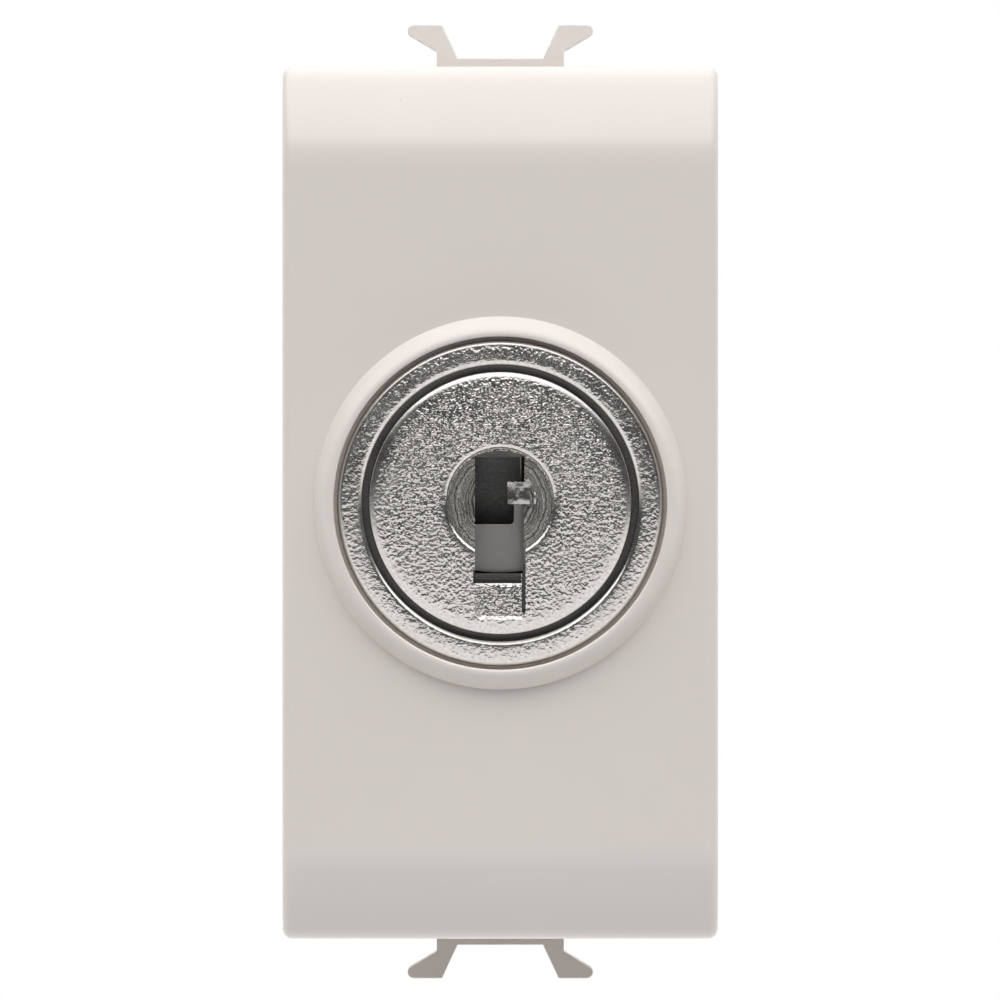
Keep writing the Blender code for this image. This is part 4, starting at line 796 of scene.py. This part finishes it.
def cad_look(looks, piece):
    """The finish of a CAD node's slot."""
    return looks[piece.data.materials[0].name.split(".")[0]]


def kept_nodes(looks):
    """CAD nodes that stay as they are, each with the finish of its slot."""
    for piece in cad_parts.values():
        if piece.hide_render:
            continue
        look = cad_look(looks, piece)
        piece.material_slots[0].link = "OBJECT"
        piece.material_slots[0].material = look


def node(tree, kind, inputs=None, **settings):
    """Adds a shader node. An input is a value, or another node's socket to link."""
    made = tree.nodes.new("ShaderNode" + kind)
    for key, value in settings.items():
        setattr(made, key, value)
    for key, value in (inputs or {}).items():
        if isinstance(value, bpy.types.NodeSocket):
            tree.links.new(value, made.inputs[key])
        else:
            made.inputs[key].default_value = value
    return made


def new_group(name, outputs):
    """Empty shader node group with the given outputs, (name, kind) pairs."""
    tree = bpy.data.node_groups.new(name, "ShaderNodeTree")
    for output, kind in outputs:
        tree.interface.new_socket(name=output, in_out="OUTPUT", socket_type="NodeSocket" + kind)
    return tree


def from_axis(tree, place):
    """Distance of a place from the lock's axis."""
    flat = node(tree, "VectorMath", {0: place, 1: (1.0, 0.0, 1.0)}, operation="MULTIPLY")
    return node(tree, "VectorMath", {0: flat.outputs[0]}, operation="LENGTH").outputs["Value"]


def shades(tree, value, levels):
    """Colour ramp of greys over (position, brightness) pairs."""
    made = node(tree, "ValToRGB", {0: value})
    points = made.color_ramp.elements
    while len(points) < len(levels):
        points.new(0.5)
    for point, (position, level) in zip(points, levels):
        point.position = position
        point.color = (level, level, level, 1.0)
    return made.outputs[0]


def noise(tree, place, scale, detail):
    """Noise over a place."""
    return node(tree, "TexNoise", {"Vector": place, "Scale": scale, "Detail": detail}).outputs[0]


def sum_of(tree, value, share, other):
    """A share of one varying value, added to another."""
    return node(tree, "Math", {0: value, 1: share, 2: other}, operation="MULTIPLY_ADD").outputs[0]


def mapped(tree, value, low, high, new_low=0.0, new_high=1.0):
    """A varying value stretched from one range to another and held inside that."""
    return node(tree, "MapRange", {0: value, 1: low, 2: high, 3: new_low, 4: new_high}).outputs[0]


def spread(tree, value, low=0.0, high=1.0):
    """A noise stretched to a range."""
    return mapped(tree, value, *NOISE_RANGE, low, high)


def bumped(tree, height, strength, size):
    """Normal of a surface with small heights of a size in millimetres."""
    inputs = {"Height": height, "Strength": strength, "Distance": size * MM}
    return node(tree, "Bump", inputs).outputs[0]


def between(tree, factor, one, other):
    """Colour mixed from two by a varying factor. The first may vary itself."""
    first = one if isinstance(one, bpy.types.NodeSocket) else (*one, 1.0)
    return node(tree, "Mix", {0: factor, 6: first, 7: (*other, 1.0)}, data_type="RGBA").outputs[2]


def give_out(tree, **sockets):
    """Links a node group's outputs by name."""
    out = tree.nodes.new("NodeGroupOutput")
    for name, socket in sockets.items():
        tree.links.new(socket, out.inputs[name])
    return tree


def moulded_surface():
    """Soft unevenness of moulded plastic: broad tone, rare specks and a faint ripple."""
    tree = new_group("moulded_surface", [("Tone", "Float"), ("Specks", "Float"), ("Normal", "Vector")])
    place = node(tree, "TexCoord").outputs["Object"]
    broad = noise(tree, place, scale=160.0, detail=2.0)
    fine = noise(tree, place, scale=4200.0, detail=1.0)
    dots = node(tree, "TexVoronoi", {"Vector": place, "Scale": 420.0}, feature="F1")
    specks = mapped(tree, dots.outputs["Distance"], *SPECK_SIZE)
    ripple = bumped(tree, fine, strength=0.12, size=RIPPLE_HEIGHT)
    return give_out(tree, Tone=broad, Specks=specks, Normal=ripple)


def cast_surface():
    """Grain of a plated die casting, which fades on rounded edges. Gaps behind the face get painted
    shade.
    """
    outputs = [("Grain", "Float"), ("Tone", "Float"), ("Deep", "Float"), ("Normal", "Vector")]
    tree = new_group("cast_surface", outputs)
    place = node(tree, "TexCoord").outputs["Object"]
    grain = noise(tree, place, scale=5400.0, detail=1.0)
    broad = noise(tree, place, scale=500.0, detail=3.0)
    off_axis = from_axis(tree, place)
    share = node(tree, "Math", {0: off_axis, 1: GRAIN_REACH * MM}, operation="DIVIDE").outputs[0]
    flat = shades(tree, share, [(radius / GRAIN_REACH, level) for radius, level in GRAIN_BY_RADIUS])
    depth = node(tree, "SeparateXYZ", {0: place}).outputs["Y"]
    # painted shade, darker with depth behind the lock's face
    start = (LOCK_FACE + PAINTED_SHADE_START) * MM
    deep = mapped(tree, depth, start, start + PAINTED_SHADE_REACH * MM)
    strength = node(tree, "Mix", {0: deep, 2: flat, 3: PAINTED_SHADE_GRAIN}).outputs[0]
    bump = bumped(tree, grain, strength, size=GRAIN_HEIGHT)
    return give_out(tree, Grain=grain, Tone=broad, Deep=deep, Normal=bump)


def turned_surface():
    """Rings that a tool leaves about the lock's axis."""
    tree = new_group("turned_surface", [("Rings", "Float"), ("Normal", "Vector")])
    place = node(tree, "TexCoord").outputs["Object"]
    wobble = noise(tree, place, scale=1500.0, detail=3.0)
    off_axis = from_axis(tree, place)
    across = node(tree, "Math", {0: off_axis, 1: TURNED_RINGS}, operation="MULTIPLY").outputs[0]
    along = sum_of(tree, wobble, TURNED_WOBBLE, across)
    inputs = {"W": along, "Scale": 1.0, "Detail": 2.0}
    rings = node(tree, "TexNoise", inputs, noise_dimensions="1D").outputs[0]
    fine = noise(tree, place, scale=6000.0, detail=2.0)
    height = sum_of(tree, fine, TURNED_FINE, rings)
    bump = bumped(tree, height, strength=1.0, size=TURNED_HEIGHT)
    return give_out(tree, Rings=rings, Normal=bump)


def stamped_surface():
    """Slight waviness and small pits of sheet metal."""
    tree = new_group("stamped_surface", [("Tone", "Float"), ("Pits", "Float"), ("Normal", "Vector")])
    place = node(tree, "TexCoord").outputs["Object"]
    broad = noise(tree, place, scale=700.0, detail=3.0)
    fine = noise(tree, place, scale=5000.0, detail=2.0)
    pits = mapped(tree, fine, *PIT_LEVELS)
    bump = bumped(tree, fine, strength=0.5, size=RIPPLE_HEIGHT)
    return give_out(tree, Tone=broad, Pits=pits, Normal=bump)


def slot_of(look):
    """Name of the record's slot that a material is the finish of."""
    return look.name.removesuffix(FINISH)


def new_look(name, metallic):
    """Material with an empty Principled BSDF, its node tree and that shader."""
    look = bpy.data.materials.new(name + FINISH)
    look.use_nodes = True
    shader = look.node_tree.nodes["Principled BSDF"]
    shader.inputs["Metallic"].default_value = metallic
    return look, look.node_tree, shader


def wire(tree, shader, colour, rough, normal):
    """Links the varying colour, roughness and normal of a material."""
    tree.links.new(colour, shader.inputs["Base Color"])
    tree.links.new(rough, shader.inputs["Roughness"])
    tree.links.new(normal, shader.inputs["Normal"])


def plastic(name, surface, light, dark, rough):
    """Moulded plastic whose colour and gloss vary a little."""
    look, tree, shader = new_look(name, 0.0)
    made = node(tree, "Group", node_tree=surface).outputs
    plain = between(tree, spread(tree, made["Tone"]), light, dark)
    colour = between(tree, made["Specks"], plain, [SPECK_SHADE * part for part in dark])
    gloss = spread(tree, made["Tone"], rough, rough + PLASTIC_ROUGH_SPREAD)
    wire(tree, shader, colour, gloss, made["Normal"])
    shader.inputs["IOR"].default_value = PLASTIC_IOR
    return look


def cast_zinc(name, surface):
    """Nickel-plated die casting, with painted shade in the gaps behind the lock's face."""
    look, tree, shader = new_look(name, 1.0)
    made = node(tree, "Group", node_tree=surface).outputs
    plain = between(tree, spread(tree, made["Grain"]), *CAST_COLOURS)
    # painted shade in the gaps behind the lock's face
    colour = between(tree, made["Deep"], plain, PAINTED_SHADE_COLOUR)
    wire(tree, shader, colour, spread(tree, made["Tone"], *CAST_ROUGH), made["Normal"])
    return look


def turned_zinc(name, surface):
    """Die casting where a tool has faced it."""
    look, tree, shader = new_look(name, 1.0)
    made = node(tree, "Group", node_tree=surface).outputs
    colour = between(tree, spread(tree, made["Rings"]), *TURNED_COLOURS)
    wire(tree, shader, colour, spread(tree, made["Rings"], *TURNED_ROUGH), made["Normal"])
    return look


def sheet_metal(name, surface, light, dark, rough):
    """Stamped, plated or drawn metal."""
    look, tree, shader = new_look(name, 1.0)
    made = node(tree, "Group", node_tree=surface).outputs
    plain = between(tree, spread(tree, made["Tone"]), light, dark)
    colour = between(tree, made["Pits"], plain, [PIT_SHADE * part for part in dark])
    gloss = spread(tree, made["Tone"], rough, rough + METAL_ROUGH_SPREAD)
    wire(tree, shader, colour, gloss, made["Normal"])
    return look


def all_looks():
    """Every finish, by the name of its slot."""
    moulded = moulded_surface()
    stamped = stamped_surface()
    looks = [
        plastic("white_plastic", moulded, (0.795, 0.742, 0.708), (0.78, 0.727, 0.693), 0.18),
        plastic("grey_plastic", moulded, (0.53, 0.53, 0.52), (0.49, 0.49, 0.48), 0.42),
        plastic("dark_plastic", moulded, (0.055, 0.055, 0.06), (0.07, 0.07, 0.075), 0.4),
        plastic("natural_plastic", moulded, (0.75, 0.73, 0.66), (0.71, 0.69, 0.62), 0.32),
        cast_zinc("cast_zinc", cast_surface()),
        sheet_metal("wafer_metal", stamped, (0.44, 0.43, 0.41), (0.38, 0.37, 0.355), 0.36),
        sheet_metal("plated_steel", stamped, (0.68, 0.68, 0.67), (0.6, 0.6, 0.6), 0.24),
        sheet_metal("spring_steel", stamped, (0.52, 0.52, 0.53), (0.44, 0.44, 0.45), 0.3),
        sheet_metal("brass", stamped, (0.8, 0.6, 0.28), (0.7, 0.5, 0.22), 0.26),
    ]
    return {slot_of(look): look for look in looks}


def light_by_height(tree, height, levels):
    """Colour ramp over (elevation in degrees, brightness) pairs, and the strength that scales it."""
    strongest = max(level for _, level in levels)
    points = [((math.sin(math.radians(angle)) + 1) / 2, level / strongest) for angle, level in levels]
    return shades(tree, height, points), strongest


def background(tree, colour, strength):
    """Light of one colour, or of a varying one."""
    return node(tree, "Background", {"Color": colour, "Strength": strength}).outputs[0]


def one_of(tree, factor, one, other):
    """One light, or another where a factor is 1."""
    return node(tree, "MixShader", {0: factor, 1: one, 2: other}).outputs[0]


def studio_light():
    """White surroundings: one light by height for matt surfaces, one for what shows in gloss."""
    world = bpy.data.worlds.new("studio")
    bpy.context.scene.world = world
    world.use_nodes = True
    tree = world.node_tree
    tree.nodes.clear()
    way = node(tree, "SeparateXYZ", {0: node(tree, "TexCoord").outputs["Generated"]})
    height = mapped(tree, way.outputs["Z"], -1.0, 1.0)
    behind = mapped(tree, way.outputs["Y"], 0.0, BACK_FADE)
    matt = background(tree, *light_by_height(tree, height, MATT_LIGHT))
    gloss = background(tree, *light_by_height(tree, height, GLOSS_LIGHT))
    white = background(tree, WHITE, 1.0)
    rear = background(tree, WHITE, BACK_LIGHT)
    path = node(tree, "LightPath").outputs
    soft = one_of(tree, behind, matt, rear)
    mirrored = one_of(tree, behind, gloss, white)
    lit = one_of(tree, path["Is Glossy Ray"], soft, mirrored)
    rays = {0: path["Is Camera Ray"], 1: path["Is Transmission Ray"]}
    seen = node(tree, "Math", rays, operation="MAXIMUM").outputs[0]
    node(tree, "OutputWorld", {0: one_of(tree, seen, lit, white)})
    world.cycles.sampling_method = "NONE"


def ground():
    """Pale floor below the object, which takes its shadow."""
    bpy.ops.object.select_all(action="DESELECT")
    bpy.ops.mesh.primitive_plane_add(size=2 * FLOOR_REACH * MM, location=(0.0, 0.0, FLOOR_HEIGHT * MM))
    plane = bpy.context.active_object
    plane.name = "floor"
    look, tree, shader = new_look("pale_floor", 0.0)
    tone = noise(tree, node(tree, "TexCoord").outputs["Object"], scale=30.0, detail=2.0)
    colour = between(tree, spread(tree, tone), (0.8, 0.8, 0.8), (0.78, 0.78, 0.78))
    tree.links.new(colour, shader.inputs["Base Color"])
    shader.inputs["Roughness"].default_value = 0.9
    plane.data.materials.append(look)
    plane.visible_diffuse = False
    plane.visible_glossy = False
    plane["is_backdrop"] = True


def camera():
    """Long lens almost level with the lock, as in the photo."""
    data = bpy.data.cameras.new("camera")
    data.sensor_width = 36.0
    data.lens = CAMERA_LENS
    data.clip_start = 0.01
    data.clip_end = 10.0
    eye = bpy.data.objects.new("camera", data)
    bpy.context.scene.collection.objects.link(eye)
    bpy.context.scene.camera = eye
    aim = Vector((CAMERA_AIM_X, COVER_FRONT, CAMERA_AIM_Z)) * MM
    tilt = math.radians(CAMERA_TILT)
    eye.location = aim + Vector((0.0, -math.cos(tilt), math.sin(tilt))) * CAMERA_DISTANCE * MM
    eye.rotation_euler = (math.pi / 2 - tilt, 0.0, 0.0)


def build():
    """All pieces, then the light, floor and camera."""
    looks = all_looks()
    white = looks["white_plastic"]
    zinc = looks["cast_zinc"]
    front_cover(white)
    mounting_frame(white)
    lock_body(zinc)
    rotor_head(zinc, turned_zinc("turned_zinc", turned_surface()))
    ward(zinc)
    rotor_barrel(zinc)
    wafers(looks["wafer_metal"])
    rear_housing(cad_look(looks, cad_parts["rear_housing"]))
    terminal_screws(looks["plated_steel"])
    kept_nodes(looks)
    studio_light()
    ground()
    camera()
    bpy.context.scene.view_settings.view_transform = "Standard"


def write_sizes():
    """Box of the CAD and of the finished model, as plain lists."""
    boxes = {"cad": cad_box, "visual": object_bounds()}
    plain = {name: [list(low), list(high)] for name, (low, high) in boxes.items()}


build()
write_sizes()
